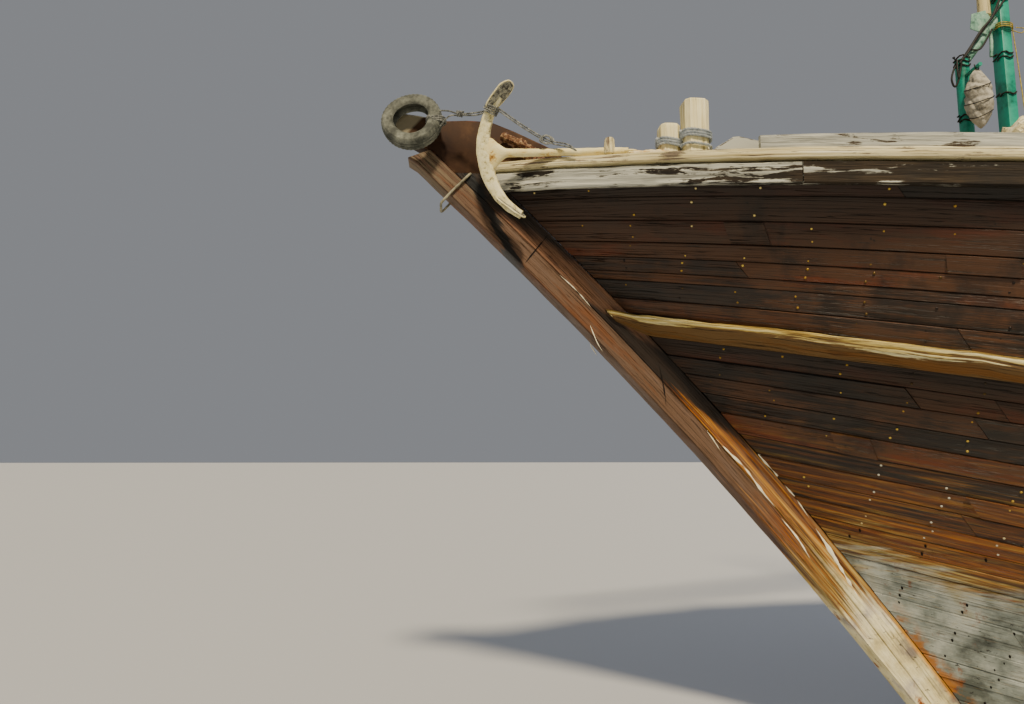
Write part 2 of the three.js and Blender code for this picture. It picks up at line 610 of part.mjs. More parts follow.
function halyardFall() {
  const top = MAST.truck - 1050;
  const sheave = [mastX(top) - 204.5, 0, top];
  return bar([sheave[0] - 40, 0, sheave[2]], [MAST.x - 745, 0, MAST_FOOT + 900 + 60], 32, 32, 10);
}

const SHROUDS = { z: 11000, feet: [1900, 500], radius: 16 };

function shrouds() {
  const { z, feet, radius } = SHROUDS;
  const r = mastRadius(z);
  const at = alongMast(z);
  const collar = raking(cut(bar([0, 0, at - 60], [0, 0, at + 60], r + 38, r + 38, 20),
    bar([0, 0, at - 70], [0, 0, at + 70], r + 1.1, r + 1.1, 20)));
  const parts = [];
  for (const x of feet) {
    for (const side of [1, -1]) {
      const y = side * 3560;
      const foot = railTop(x);
      parts.push(bar([mastX(z), side * (r + 25), z], [x, y, foot + 300], radius, radius, 8));
      parts.push(bar([x, y, foot - 90], [x, y, foot + 330], 26, 26, 8));
      parts.push(bar([x - 30, y, foot + 330], [x + 30, y, foot + 330], 85, 85, 12));
    }
  }
  return cut(join(collar, ...parts), capRailBelow);
}

const STRAP = 45;                    // the parrel's strap round the yard
const yardPoint = (along, drop = 0) => {
  const slope = YARD.slope * RAD;
  return [mastX(YARD.z) + along * Math.cos(slope) - drop * Math.sin(slope), YARD.side,
    YARD.z - along * Math.sin(slope) - drop * Math.cos(slope)];
};

function yard() {
  const { fore, aft, mid, tip } = YARD;
  const half = 1500;
  return join(bar(yardPoint(-half), yardPoint(half), mid, mid, 16), bar(yardPoint(half - 20), yardPoint(fore), mid, tip, 16),
    bar(yardPoint(20 - half), yardPoint(-aft), mid, tip, 16));
}

function furledSail() {
  const { fore, aft, radius } = SAIL;
  const drop = YARD.mid + STRAP + radius - 2.7;
  const half = 1500;
  return join(bar(yardPoint(-half, drop), yardPoint(half, drop), radius, radius, 16),
    bar(yardPoint(half - 20, drop), yardPoint(fore, drop), radius, radius * 0.45, 16),
    bar(yardPoint(20 - half, drop), yardPoint(-aft, drop), radius, radius * 0.45, 16));
}

function parrel() {
  const z = YARD.z + 60;
  const r = mastRadius(z);
  const at = alongMast(z);
  const ring = bar([0, 0, at - 45], [0, 0, at + 45], r + 70, r + 70, 20);
  const arm = block(-60, 60, 0, YARD.side, at - 45, at + 45);
  const strap = bar(yardPoint(-70), yardPoint(70), YARD.mid + STRAP, YARD.mid + STRAP, 16);
  const hole = bar([0, 0, at - 60], [0, 0, at + 60], r + 1.1, r + 1.1, 40);
  const spar = bar(yardPoint(-600), yardPoint(600), YARD.mid + 1, YARD.mid + 1, 16);
  return cut(join(raking(join(ring, arm)), strap), raking(hole), spar);
}

// Aft and on deck
function hatchCoaming() {
  const floor = deckZ(MID_X);
  return cut(block(-4300, 1100, -1550, 1550, floor - 200, floor + 480), deckBelow);
}
const hatchCover = () => {
  const floor = deckZ(MID_X) + 480 + GAP;
  return block(-4360, 1160, -1610, 1610, floor, floor + 90);
};

function exhaust() {
  const x = HOUSE.aft - 460;
  return cut(join(bar([x, 700, 2000], [x, 700, HOUSE_FLOOR + 3100], 90, 90, 16),
    bar([x, 700, HOUSE_FLOOR + 3050], [x - 170, 700, HOUSE_FLOOR + 3220], 90, 90, 16)), deckBelow);
}

function sternBitts() {
  const x = -10300;
  const floor = deckZ(x);
  return cut(join(bitt(x, 420, 200, floor - 300, floor + 700), bitt(x, -420, 200, floor - 300, floor + 700),
    block(x - 60, x + 60, -620, 620, floor + 380, floor + 520)), deckBelow);
}

const PRIVY = { x: -9700, y: 2150, long: 960, wide: 760, high: 1150, wall: 50 };

function privyBox() {
  const { x, y, long, wide, high, wall } = PRIVY;
  const floor = railTop(x);
  const outside = block(x - long / 2, x + long / 2, y - wide / 2, y + wide / 2, floor - 200, floor + high);
  const [halfLong, halfWide] = [long / 2 - wall, wide / 2 - wall];
  const room = block(x - halfLong, x + halfLong, y - halfWide, y + halfWide, floor + 60, floor + high + wall);
  const entry = block(x - 250, x + 250, y - wide, y, floor + 60, floor + high + wall);
  return cut(outside, room, entry, capRailBelow);
}

piece('hull_bottom', hullSolid(0, PAINT_V, 0), LIME);
piece('hull_topsides', hullSolid(PAINT_V, DECK_V, GAP), TEAK);
piece('keel', keel(), STEM_WOOD);
piece('stem', stem(), STEM_WOOD);
piece('false_stem', falseStem(), STEM_WOOD);
piece('stem_head', stemHead(), STEM_WOOD);
piece('sternpost', sternpost(), STEM_WOOD);
piece('rudder', rudder(), TEAK);
piece('propeller', propeller(), BRONZE);
piece('bulwark_port', bulwark(), TEAK);
piece('bulwark_starboard', mirrored(bulwark()), TEAK);
piece('cap_rail_port', capRail(), RAIL_PAINT);
piece('cap_rail_starboard', mirrored(capRail()), RAIL_PAINT);
piece('wale_port', wale(), WALE_WOOD);
piece('wale_starboard', mirrored(wale()), WALE_WOOD);
piece('deck', deckSlab(), BARE_DECK);
wheelhouse();
piece('door_port', doors(), HOUSE_PAINT);
piece('door_starboard', mirrored(toGeometry(doors())), HOUSE_PAINT);
piece('helm_stand', helmStand(), SPAR);
piece('helm_wheel', helmWheel(), SPAR);
for (const [size, row] of Object.entries(BITTS)) {
  piece(`bow_bitt_${size}_port`, bowBitt(row), RAIL_PAINT);
  piece(`bow_bitt_${size}_starboard`, mirrored(toGeometry(bowBitt(row))), RAIL_PAINT);
}
piece('anchor', anchor(), IRON);
piece('tyre_fender', tyreOnHead(), RUBBER);
piece('windlass_frame', windlassFrame(), SPAR);
piece('windlass_barrel', windlassBarrel(), SPAR);
piece('foredeck_post_frame', postFrame(), TEAL);
piece('lamp_pole', lampPole(), SPAR);
piece('canvas_bundle', canvasBundle(), CANVAS);
piece('mast', mast(), SPAR);
piece('mast_bed', mastBed(), STEM_WOOD);
piece('halyard_fall', halyardFall(), ROPE);
piece('shrouds', shrouds(), ROPE);
piece('yard', yard(), SPAR);
piece('parrel', parrel(), ROPE);
piece('furled_sail', furledSail(), CANVAS);
piece('hatch_coaming', hatchCoaming(), SPAR);
piece('hatch_cover', hatchCover(), CANVAS);
piece('exhaust_pipe', exhaust(), STEEL);
piece('stern_bitts', sternBitts(), SPAR);
piece('stern_privy', privyBox(), HOUSE_PAINT);

export default boat;
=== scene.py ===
# %% [markdown]
# A double-ended trading dhow, dressed in Blender. The imported model is the fixed frame: every piece below
# sits where that frame says, in metres, +X forward, +Y to port, +Z up, with the water at z = 0. The pieces
# are made the way the boat is: planks on a dark caulked shell, sawn timbers, iron, rope and canvas.

# %% The frame, and the boxes of its parts
import json
import math
import random

import bmesh
import bpy
from mathutils import Matrix, Vector, noise


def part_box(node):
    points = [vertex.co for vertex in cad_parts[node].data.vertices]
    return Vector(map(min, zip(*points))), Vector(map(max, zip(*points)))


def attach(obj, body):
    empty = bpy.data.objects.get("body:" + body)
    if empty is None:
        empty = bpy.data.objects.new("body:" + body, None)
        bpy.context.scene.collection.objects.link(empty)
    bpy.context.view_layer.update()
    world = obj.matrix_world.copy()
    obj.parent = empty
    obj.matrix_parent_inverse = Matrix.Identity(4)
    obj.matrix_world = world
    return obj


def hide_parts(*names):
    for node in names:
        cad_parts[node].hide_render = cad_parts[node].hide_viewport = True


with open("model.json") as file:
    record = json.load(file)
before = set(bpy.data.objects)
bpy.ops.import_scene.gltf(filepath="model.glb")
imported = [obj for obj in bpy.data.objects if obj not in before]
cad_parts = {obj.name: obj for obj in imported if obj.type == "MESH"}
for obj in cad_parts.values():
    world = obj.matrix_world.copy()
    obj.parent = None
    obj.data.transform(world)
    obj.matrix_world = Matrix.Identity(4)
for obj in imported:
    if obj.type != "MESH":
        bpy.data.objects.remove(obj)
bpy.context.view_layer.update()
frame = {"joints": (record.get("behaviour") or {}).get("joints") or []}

# %% [markdown]
# The camera stands off the port bow at the height of a quay, a little below the rail, looking across at the
# stem. A 27 mm lens this close makes the raked stem sweep through the whole picture. It comes first,
# because it settles which side of every later piece has to carry the finest work.

# %% Camera
CAMERA_PLACE = Vector((12.599, 7.865, 2.929))
CAMERA_LOOK = Vector((-0.0864, -0.9876, 0.1309))
CAMERA_LENS = 27.42
camera = bpy.data.objects.new("camera", bpy.data.cameras.new("camera"))
camera.data.lens = CAMERA_LENS
camera.data.clip_end = 500
camera.location = CAMERA_PLACE
camera.rotation_euler = CAMERA_LOOK.to_track_quat("-Z", "Y").to_euler()
bpy.context.scene.collection.objects.link(camera)
bpy.context.scene.camera = camera
print("camera at", tuple(CAMERA_PLACE), "lens", CAMERA_LENS, "mm")

# %% [markdown]
# Colours are written as the hex values one reads off a swatch, so one function turns them to the linear
# light that Blender mixes in. Another adds a node, its settings and its links in one line, which keeps a
# material readable.

# %% Colours and nodes
def linear(swatch):
    parts = [int(swatch[i:i + 2], 16) / 255 for i in (1, 3, 5)]
    return [c / 12.92 if c <= 0.04045 else ((c + 0.055) / 1.055) ** 2.4 for c in parts] + [1.0]


def add(tree, kind, inputs=None, stops=None, **settings):
    """Adds a node. inputs maps a socket to a value, or to another node's output; stops are a ramp's
    colours."""
    node = tree.nodes.new(kind)
    for name, value in settings.items():
        setattr(node, name, value)
    for socket, value in (inputs or {}).items():
        if isinstance(value, bpy.types.NodeSocket):
            tree.links.new(value, node.inputs[socket])
        else:
            node.inputs[socket].default_value = value
    if stops:
        ramp = node.color_ramp.elements
        ramp.remove(ramp[1])
        ramp[0].position, ramp[0].color = stops[0][0], linear(stops[0][1])
        for place, swatch in stops[1:]:
            ramp.new(place).color = linear(swatch)
    return node


def new_material(name):
    made = bpy.data.materials.new(name)
    made.use_nodes = True
    shader = made.node_tree.nodes["Principled BSDF"]
    return made, made.node_tree, shader


# %% [markdown]
# Wood is most of this boat, so one function grows it. Sawn timber shows three things: fine pores a
# millimetre or two wide, drawn out along the grain; broader bands where the saw crossed the growth rings;
# and drying splits. All three are noise stretched along the piece's own UV map, which every piece carries
# in metres, u along the grain. Weather comes on top, from noise in the boat's own coordinates, so that a
# stain runs on across several planks.

# %% Timber
def timber(name, swatches, rough, pores=0.35, splits=0.5, stains=0.5, gloss=0.3, bump=0.004, end=None):
    """swatches are dark, middle and light wood. end may paint over it: end(tree, colour, rough, height,
    maps)."""
    made, tree, shader = new_material(name)
    where = add(tree, "ShaderNodeTexCoord")
    uv = where.outputs["UV"]
    place = where.outputs["Object"]
    tone = add(tree, "ShaderNodeAttribute", attribute_name="tone").outputs["Fac"]
    girth = add(tree, "ShaderNodeAttribute", attribute_name="girth").outputs["Fac"]

    def grain(along, across, detail, twist=0.0):
        stretched = add(tree, "ShaderNodeMapping", {"Vector": uv, "Scale": (along, across, 1)})
        made_noise = add(tree, "ShaderNodeTexNoise", {"Vector": stretched.outputs[0], "Scale": 1.0,
                                                      "Detail": detail, "Distortion": twist})
        return made_noise.outputs["Fac"]

    pore = grain(5.0, 160.0, 3)
    band = grain(0.9, 22.0, 4, 0.8)
    crack = grain(0.55, 34.0, 5, 0.3)
    blot = add(tree, "ShaderNodeTexNoise", {"Vector": place, "Scale": 1.7, "Detail": 6,
                                            "Roughness": 0.62}).outputs["Fac"]
    mixed = add(tree, "ShaderNodeMath", {0: band, 1: pores, 2: 0.5 - 0.5 * pores},
                operation="MULTIPLY_ADD").outputs[0]
    mixed = add(tree, "ShaderNodeMath", {0: pore, 1: pores, 2: mixed}, operation="MULTIPLY_ADD").outputs[0]
    mixed = add(tree, "ShaderNodeMath", {0: blot, 1: stains, 2: mixed}, operation="MULTIPLY_ADD").outputs[0]
    mixed = add(tree, "ShaderNodeMath", {0: tone, 1: 0.35, 2: mixed}, operation="MULTIPLY_ADD").outputs[0]
    spread = add(tree, "ShaderNodeMapRange", {"Value": mixed, "From Min": 0.42 + 0.42 * stains,
                                              "From Max": 0.78 + 0.62 * stains}).outputs[0]
    colour = add(tree, "ShaderNodeValToRGB", {0: spread},
                 stops=list(zip((0.0, 0.25, 0.5, 0.75, 1.0), swatches))).outputs[0]
    off = add(tree, "ShaderNodeMath", {0: crack, 1: 0.5}, operation="SUBTRACT").outputs[0]
    near = add(tree, "ShaderNodeMath", {0: off}, operation="ABSOLUTE").outputs[0]
    split = add(tree, "ShaderNodeMapRange", {"Value": near, "From Min": 0.002, "From Max": 0.011,
                                             "To Min": splits, "To Max": 0.0}).outputs[0]
    colour = add(tree, "ShaderNodeMix", {0: split, 6: colour, 7: linear("#0d0805")},
                 data_type="RGBA").outputs[2]
    height = add(tree, "ShaderNodeMath", {0: pore, 1: 0.35, 2: band}, operation="MULTIPLY_ADD").outputs[0]
    height = add(tree, "ShaderNodeMath", {0: split, 1: -1.6, 2: height}, operation="MULTIPLY_ADD").outputs[0]
    shine = add(tree, "ShaderNodeMapRange", {"Value": blot, "From Min": 0.3, "From Max": 0.7,
                                             "To Min": rough - 0.12, "To Max": rough + 0.14}).outputs[0]
    maps = {"uv": uv, "place": place, "tone": tone, "girth": girth, "blot": blot, "band": band,
            "split": split, "pore": pore}
    if end:
        colour, shine, height = end(tree, colour, shine, height, maps)
    relief = add(tree, "ShaderNodeBump", {"Height": height, "Distance": bump, "Strength": 0.9}).outputs[0]
    tree.links.new(colour, shader.inputs["Base Color"])
    tree.links.new(shine, shader.inputs["Roughness"])
    tree.links.new(relief, shader.inputs["Normal"])
    shader.inputs["Specular IOR Level"].default_value = gloss
    return made


def veil(tree, mask, colour, rough, over_swatch, over_rough):
    """Lays one coat over another where mask is 1."""
    over = over_swatch if isinstance(over_swatch, bpy.types.NodeSocket) else linear(over_swatch)
    mixed = add(tree, "ShaderNodeMix", {0: mask, 6: colour, 7: over}, data_type="RGBA").outputs[2]
    shine = add(tree, "ShaderNodeMix", {0: mask, 2: rough, 3: over_rough}, data_type="FLOAT").outputs[0]
    return mixed, shine


def streaks(tree, maps, scale, low, high, seed=0.0, by="place"):
    """A mask of patches: noise by place in the boat or by the grain's uv, stretched by scale, cut from low
    to high."""
    moved = add(tree, "ShaderNodeMapping", {"Vector": maps[by], "Scale": scale,
                                            "Location": (seed, seed, seed)})
    patch = add(tree, "ShaderNodeTexNoise", {"Vector": moved.outputs[0], "Scale": 1.0, "Detail": 8,
                                             "Roughness": 0.65})
    return add(tree, "ShaderNodeMapRange", {"Value": patch.outputs["Fac"], "From Min": low,
                                            "From Max": high}).outputs[0]


def both(tree, one, other, how="MULTIPLY"):
    return add(tree, "ShaderNodeMath", {0: one, 1: other}, operation=how, use_clamp=True).outputs[0]

# %% [markdown]
# Nearly everything on a wooden boat is a long bar bent to a curve: planks, rails, wales, spars and ropes.
# So one helper takes Blender's own grid and bends it round into a closed bar, with its ends filled and its
# UV map laid in metres along and round it. It also stores how light a piece of wood is, and how high up the
# hull it lies.

# %% Bars from a bent grid
def layers(bm):
    kinds = bm.verts.layers.float
    tones, girths = [kinds.get(name) or kinds.new(name) for name in ("tone", "girth")]
    return bm.loops.layers.uv.verify(), tones, girths


def loft(bm, steps, sides, place, size=(1.0, 1.0), tone=0.5, girth=1.0, shift=0.0):
    """Bends a grid to a bar. place(a, b) is the point at a along it and b round it, each from 0 to 1."""
    uv, tones, girths = layers(bm)
    made = bmesh.ops.create_grid(bm, x_segments=steps, y_segments=sides, size=0.5)["verts"]
    faces = list({face for vert in made for face in vert.link_faces})
    for face in faces:
        for corner in face.loops:
            a, b = corner.vert.co.x + 0.5, corner.vert.co.y + 0.5
            corner[uv].uv = (a * size[0] + shift, b * size[1] + shift * 0.37)
    for vert in made:
        a, b = vert.co.x + 0.5, vert.co.y + 0.5
        vert[tones] = tone
        vert[girths] = girth(a, b) if callable(girth) else girth
        vert.co = place(a, b)
    bmesh.ops.remove_doubles(bm, verts=made, dist=2e-6)
    rims = {edge for face in faces if face.is_valid for edge in face.edges if edge.is_boundary}
    for cap in bmesh.ops.holes_fill(bm, edges=list(rims))["faces"]:
        for corner in cap.loops:
            corner[uv].uv = (corner.vert.co.y * 0.3 + shift, corner.vert.co.z)


def finish(bm, name, material, slot, replaces=(), body="hull", smooth=35.0):
    """Makes the mesh an object that rides on a body, standing for the nodes it replaces; slot is not used."""
    bmesh.ops.recalc_face_normals(bm, faces=bm.faces)
    mesh = bpy.data.meshes.new(name)
    bm.to_mesh(mesh)
    bm.free()
    mesh.polygons.foreach_set("use_smooth", [True] * len(mesh.polygons))
    mesh.set_sharp_from_angle(angle=math.radians(smooth))
    for each in material if isinstance(material, (list, tuple)) else [material]:
        mesh.materials.append(each)
    made = bpy.data.objects.new(name, mesh)
    bpy.context.scene.collection.objects.link(made)
    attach(made, body)
    if replaces:
        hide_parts(*replaces)
    print(name, len(mesh.polygons), "faces")
    return made


def mix(a, b, t):
    return a + (b - a) * t


def port_and_starboard(build, name, material, slot, replaces=None, **more):
    """Builds a piece twice: build(bm, side) with side 1 to port and -1 to starboard."""
    made = []
    for side, word in ((1, "port"), (-1, "starboard")):
        bm = bmesh.new()
        build(bm, side)
        nodes = [f"{node}_{word}" for node in replaces or ()]
        made.append(finish(bm, f"{name}_{word}", material, slot, nodes, **more))
    return made


# %% [markdown]
# Sawn blocks start from create_cube, scaled to their two corners and bevelled, since no edge on an old boat
# is sharp. Their UV map is laid by a short loop: u along the grain, v across whichever face it is.

# %% Blocks, plates and turned bars
def grain_uv(bm, faces, along=(1, 0, 0), tone=0.5, girth=1.0, shift=0.0):
    uv, tones, girths = layers(bm)
    along = Vector(along).normalized()
    for face in faces:
        across = face.normal.cross(along)
        across = across.normalized() if across.length > 0.3 else along.orthogonal().normalized()
        for corner in face.loops:
            corner[uv].uv = (corner.vert.co.dot(along) + shift, corner.vert.co.dot(across) + shift * 0.4)
            corner.vert[tones] = tone
            corner.vert[girths] = girth


def soften(bm, faces, bevel):
    if bevel > 0:
        sharp = [e for e in {edge for face in faces for edge in face.edges} if e.calc_face_angle(0) > 0.5]
        made = bmesh.ops.bevel(bm, geom=sharp, offset=bevel, segments=2, profile=0.5, affect="EDGES",
                               material=-1, clamp_overlap=True)
        faces = {f for f in faces if f.is_valid} | set(made["faces"])
    return list(faces)


def block(bm, low, high, bevel=0.008, along=(1, 0, 0), turn=None, tone=0.5, girth=1.0, taper=None):
    """A bevelled block between two corners. taper(corner) may move its corners first; turn is a matrix put
    on last."""
    low, high = Vector(low), Vector(high)
    made = bmesh.ops.create_cube(bm, size=1.0)["verts"]
    for vert in made:
        vert.co = Vector([mix(low[k], high[k], vert.co[k] + 0.5) for k in range(3)])
        if taper:
            vert.co = taper(vert.co.copy())
    faces = soften(bm, {face for vert in made for face in vert.link_faces}, bevel)
    bm.normal_update()
    grain_uv(bm, faces, along, tone, girth, low.x * 0.7 + low.y)
    if turn:
        bmesh.ops.transform(bm, matrix=turn, verts=list({v for f in faces for v in f.verts}))
    return faces


def plate(bm, outline, low, high, bevel=0.006, along=(1, 0, 0), turn=None, tone=0.5, flat="y"):
    """An outline extruded: its points lie in XZ and it runs from low to high along Y, or in XY along Z, or
    in YZ."""
    raised = {"y": lambda p, w: (p[0], w, p[1]), "z": lambda p, w: (p[0], p[1], w), "x": lambda p,
              w: (w, p[0], p[1])}
    corners = [bm.verts.new(raised[flat](point, low)) for point in outline]
    base = bm.faces.new(corners)
    out = bmesh.ops.extrude_face_region(bm, geom=[base])["geom"]
    lifted = [item for item in out if isinstance(item, bmesh.types.BMVert)]
    bmesh.ops.translate(bm, verts=lifted, vec=Vector(raised[flat]((0, 0),
            high)) - Vector(raised[flat]((0, 0), low)))
    faces = {face for vert in corners + lifted for face in vert.link_faces}
    bmesh.ops.recalc_face_normals(bm, faces=list(faces))
    faces = soften(bm, faces, bevel)
    bm.normal_update()
    grain_uv(bm, faces, along, tone, 1.0, low)
    if turn:
        bmesh.ops.transform(bm, matrix=turn, verts=list({v for f in faces for v in f.verts}))
    return faces


def path(points, steps, closed=False):
    """Even steps along a smooth curve: each a point and two directions across it."""
    points = [Vector(point) for point in points]
    ends = (points[-1], points[0], points[1]) if closed else (2 * points[0] - points[1],
            2 * points[-1] - points[-2])
    knots = [ends[0]] + points + list(ends[1:])
    fine = []
    for p0, p1, p2, p3 in zip(knots, knots[1:], knots[2:], knots[3:]):
        for k in range(16):
            t = k / 16
            fine.append(0.5 * ((2 * p1) + (p2 - p0) * t + (2 * p0 - 5 * p1 + 4 * p2 - p3) * t ** 2
                               + (3 * p1 - p0 - 3 * p2 + p3) * t ** 3))
    fine.append(points[0] if closed else points[-1])
    far = [0.0]
    for one, other in zip(fine, fine[1:]):
        far.append(far[-1] + (other - one).length)
    line, k, across = [], 0, None
    for step in range(steps + 1):
        goal = far[-1] * step / steps
        while k + 2 < len(far) and far[k + 1] < goal:
            k += 1
        share = (goal - far[k]) / max(far[k + 1] - far[k], 1e-9)
        ahead = (fine[k + 1] - fine[k]).normalized()
        across = ahead.orthogonal() if across is None else across - ahead * across.dot(ahead)
        across.normalize()
        line.append((fine[k].lerp(fine[k + 1], share), across.copy(), ahead.cross(across)))
    return line, far[-1]


def tube(bm, points, radius, sides=10, steps=None, closed=False):
    """A round bar along a smooth curve. radius may be a number or a function of how far along it is."""
    steps = steps or max(2, (len(points) - 1) * 6)
    line, length = path(points, steps, closed)
    wide = radius if callable(radius) else lambda a: radius

    def place(a, b):
        at, one, other = line[round(a * steps)]
        return at + (one * math.cos(2 * math.pi * b) + other * math.sin(2 * math.pi * b)) * wide(a)

    loft(bm, steps, sides, place, (length, 2 * math.pi * wide(0.5)), shift=points[0][0])
    if closed:
        bmesh.ops.remove_doubles(bm, verts=bm.verts, dist=2e-6)


STRANDS = 3


def rope(bm, points, thick, sides=5, lay=3.4, per_turn=7):
    """Laid rope: strands that wind round one another, one turn to every lay thicknesses of length."""
    length = path(points, 8)[1]
    steps = max(4, round(length / (lay * thick) * per_turn))
    line, length = path(points, steps)
    for strand in range(STRANDS):
        def place(a, b, strand=strand):
            at, one, other = line[round(a * steps)]
            wind = 2 * math.pi * (a * steps / per_turn + strand / STRANDS)
            turn = 2 * math.pi * b + wind
            middle = at + (one * math.cos(wind) + other * math.sin(wind)) * thick * 0.27
            return middle + (one * math.cos(turn) + other * math.sin(turn)) * thick * 0.265

        loft(bm, steps, sides, place, (length, thick), 0.5 + 0.1 * (strand - 1), shift=strand * 0.3)


def ring(bm, centre, axis, radius, thick, sides=8, steps=28):
    """A closed ring round an axis."""
    axis = Vector(axis).normalized()
    one = axis.orthogonal().normalized()
    other = axis.cross(one)
    centre = Vector(centre)
    points = [centre + (one * math.cos(t) + other * math.sin(t)) * radius
              for t in (2 * math.pi * k / 12 for k in range(12))]
    tube(bm, points, thick / 2, sides, steps, closed=True)


def scatter(template, matrices, name, material):
    """Joins many copies of one small mesh: its vertices are moved by each matrix in turn."""
    template.verts.ensure_lookup_table()
    corners = [vert.co.copy() for vert in template.verts]
    sides = [[vert.index for vert in face.verts] for face in template.faces]
    points = [matrix @ corner for matrix in matrices for corner in corners]
    faces = [[k * len(corners) + j for j in side] for k in range(len(matrices)) for side in sides]
    mesh = bpy.data.meshes.new(name)
    mesh.from_pydata(points, [], faces)
    mesh.polygons.foreach_set("use_smooth", [True] * len(mesh.polygons))
    mesh.set_sharp_from_angle(angle=math.radians(50))
    mesh.materials.append(material)
    made = bpy.data.objects.new(name, mesh)
    bpy.context.scene.collection.objects.link(made)
    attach(made, "hull")
    print(name, len(matrices), "copies,", len(faces), "faces")
    return made

# %% [markdown]
# The hull's lines. A strake is a line of constant v, from the keel at 0 to the rail at 1, and s runs from
# the sternpost at -1 through amidships at 0 to the stem at 1. The ends follow the raked stem and sternpost,
# and the middle follows the midship section, so two short tables give the whole form, smooth enough for any
# plank.

# %% The hull's form
RABBET = (7.10, 0.712, 0.0276)           # stem edges are x = a + b z + c z^2
STEM_SEAM = (7.42, 0.691, 0.0321)
STEM_FACE = (7.54, 0.759, 0.0257)
STERN_RABBET = (-10.03, -0.36, 0.0)
SIDING = 0.30
MID_X = -1.0
KEEL_TOP, KEEL_BOTTOM = -1.75, -2.05
RAIL_BOW, RAIL_STERN = 5.8, 5.0
DECK_V, PAINT_V, WALE_V = 0.885, 0.49, (0.779, 0.808)
MIDSHIP = [(0.0, -1.75, 0.0), (0.14, -1.3, 1.1), (0.28, -0.8, 2.2), (0.40, -0.2, 2.96), (0.49, 0.35, 3.27),
           (0.60, 1.05, 3.43), (0.70, 1.7, 3.52), (0.779, 2.265, 3.565), (0.808, 2.485, 3.575),
           (0.885, 3.23, 3.59), (1.0, 4.3, 3.6)]


def curve_x(curve, z):
    return curve[0] + curve[1] * z + curve[2] * z * z


def midship(v):
    """Height and half-breadth beyond the keel's side, on a smooth curve through the table."""
    k = min(max(1, next((n for n, row in enumerate(MIDSHIP) if row[0] >= v), len(MIDSHIP) - 1)),
            len(MIDSHIP) - 1)
    one, two = MIDSHIP[k - 1], MIDSHIP[k]
    before, after = MIDSHIP[max(k - 2, 0)], MIDSHIP[min(k + 1, len(MIDSHIP) - 1)]
    wide = two[0] - one[0]
    t = (v - one[0]) / wide
    result = []
    for column in (1, 2):
        rise0 = (two[column] - before[column]) / (two[0] - before[0]) * wide
        rise1 = (after[column] - one[column]) / (after[0] - one[0]) * wide
        result.append((2 * t ** 3 - 3 * t * t + 1) * one[column] + (t ** 3 - 2 * t * t + t) * rise0
                      + (3 * t * t - 2 * t ** 3) * two[column] + (t ** 3 - t * t) * rise1)
    return result


def hull(s, v):
    mid_z, breadth = midship(v)
    fore, t = s >= 0, abs(s)
    end_z = mix(KEEL_TOP, RAIL_BOW if fore else RAIL_STERN, v)
    end_x = curve_x(RABBET if fore else STERN_RABBET, end_z)
    fullness = mix(1.7, 3.0, v) if fore else mix(1.5, 3.1, v)
    return Vector((mix(MID_X, end_x, t), SIDING / 2 + breadth * (1 - t ** fullness),
                   mix(mid_z, end_z, t ** (1.6 if fore else 1.9))))


def skin(s, v, out=0.0, side=1):
    """A point on the hull, moved out along its own normal, to port or to starboard."""
    s0, s1, v0, v1 = max(s - 0.003, -1), min(s + 0.003, 1), max(v - 0.003, 0), min(v + 0.003, 1)
    normal = (hull(s, v1) - hull(s, v0)).cross(hull(s1, v) - hull(s0, v)).normalized()
    at = hull(s, v) + normal * out
    return Vector((at.x, at.y * side, at.z))


def station(x, v):
    """The s at which strake v passes x."""
    fore = x >= MID_X
    end_x = curve_x(RABBET if fore else STERN_RABBET, mix(KEEL_TOP, RAIL_BOW if fore else RAIL_STERN, v))
    return (x - MID_X) / (end_x - MID_X) * (1 if fore else -1)


print("half-breadth amidships at the rail", round(hull(0, 1).y, 3), "m")

# %% [markdown]
# Hull planks are oiled teak, nearly black where the oil has built up and orange-brown where it has worn.
# Fish oil leaves a low gloss. Down by the water the planks are brushed with lime and fat, which dries
# chalky and grey-white, runs yellow where it thins out, and lets iron nails weep rust. The coat's edge
# follows the strakes, not the water.

# %% Hull materials
def between(tree, value, low, high):
    """1 where value is over high and 0 where it is under low, or the reverse where low is the greater."""
    return add(tree, "ShaderNodeMapRange", {"Value": value, "From Min": low, "From Max": high}).outputs[0]


GREY_LIME = ("#5f665f", "#9ba49d", "#c8cec5", "#bcb797")


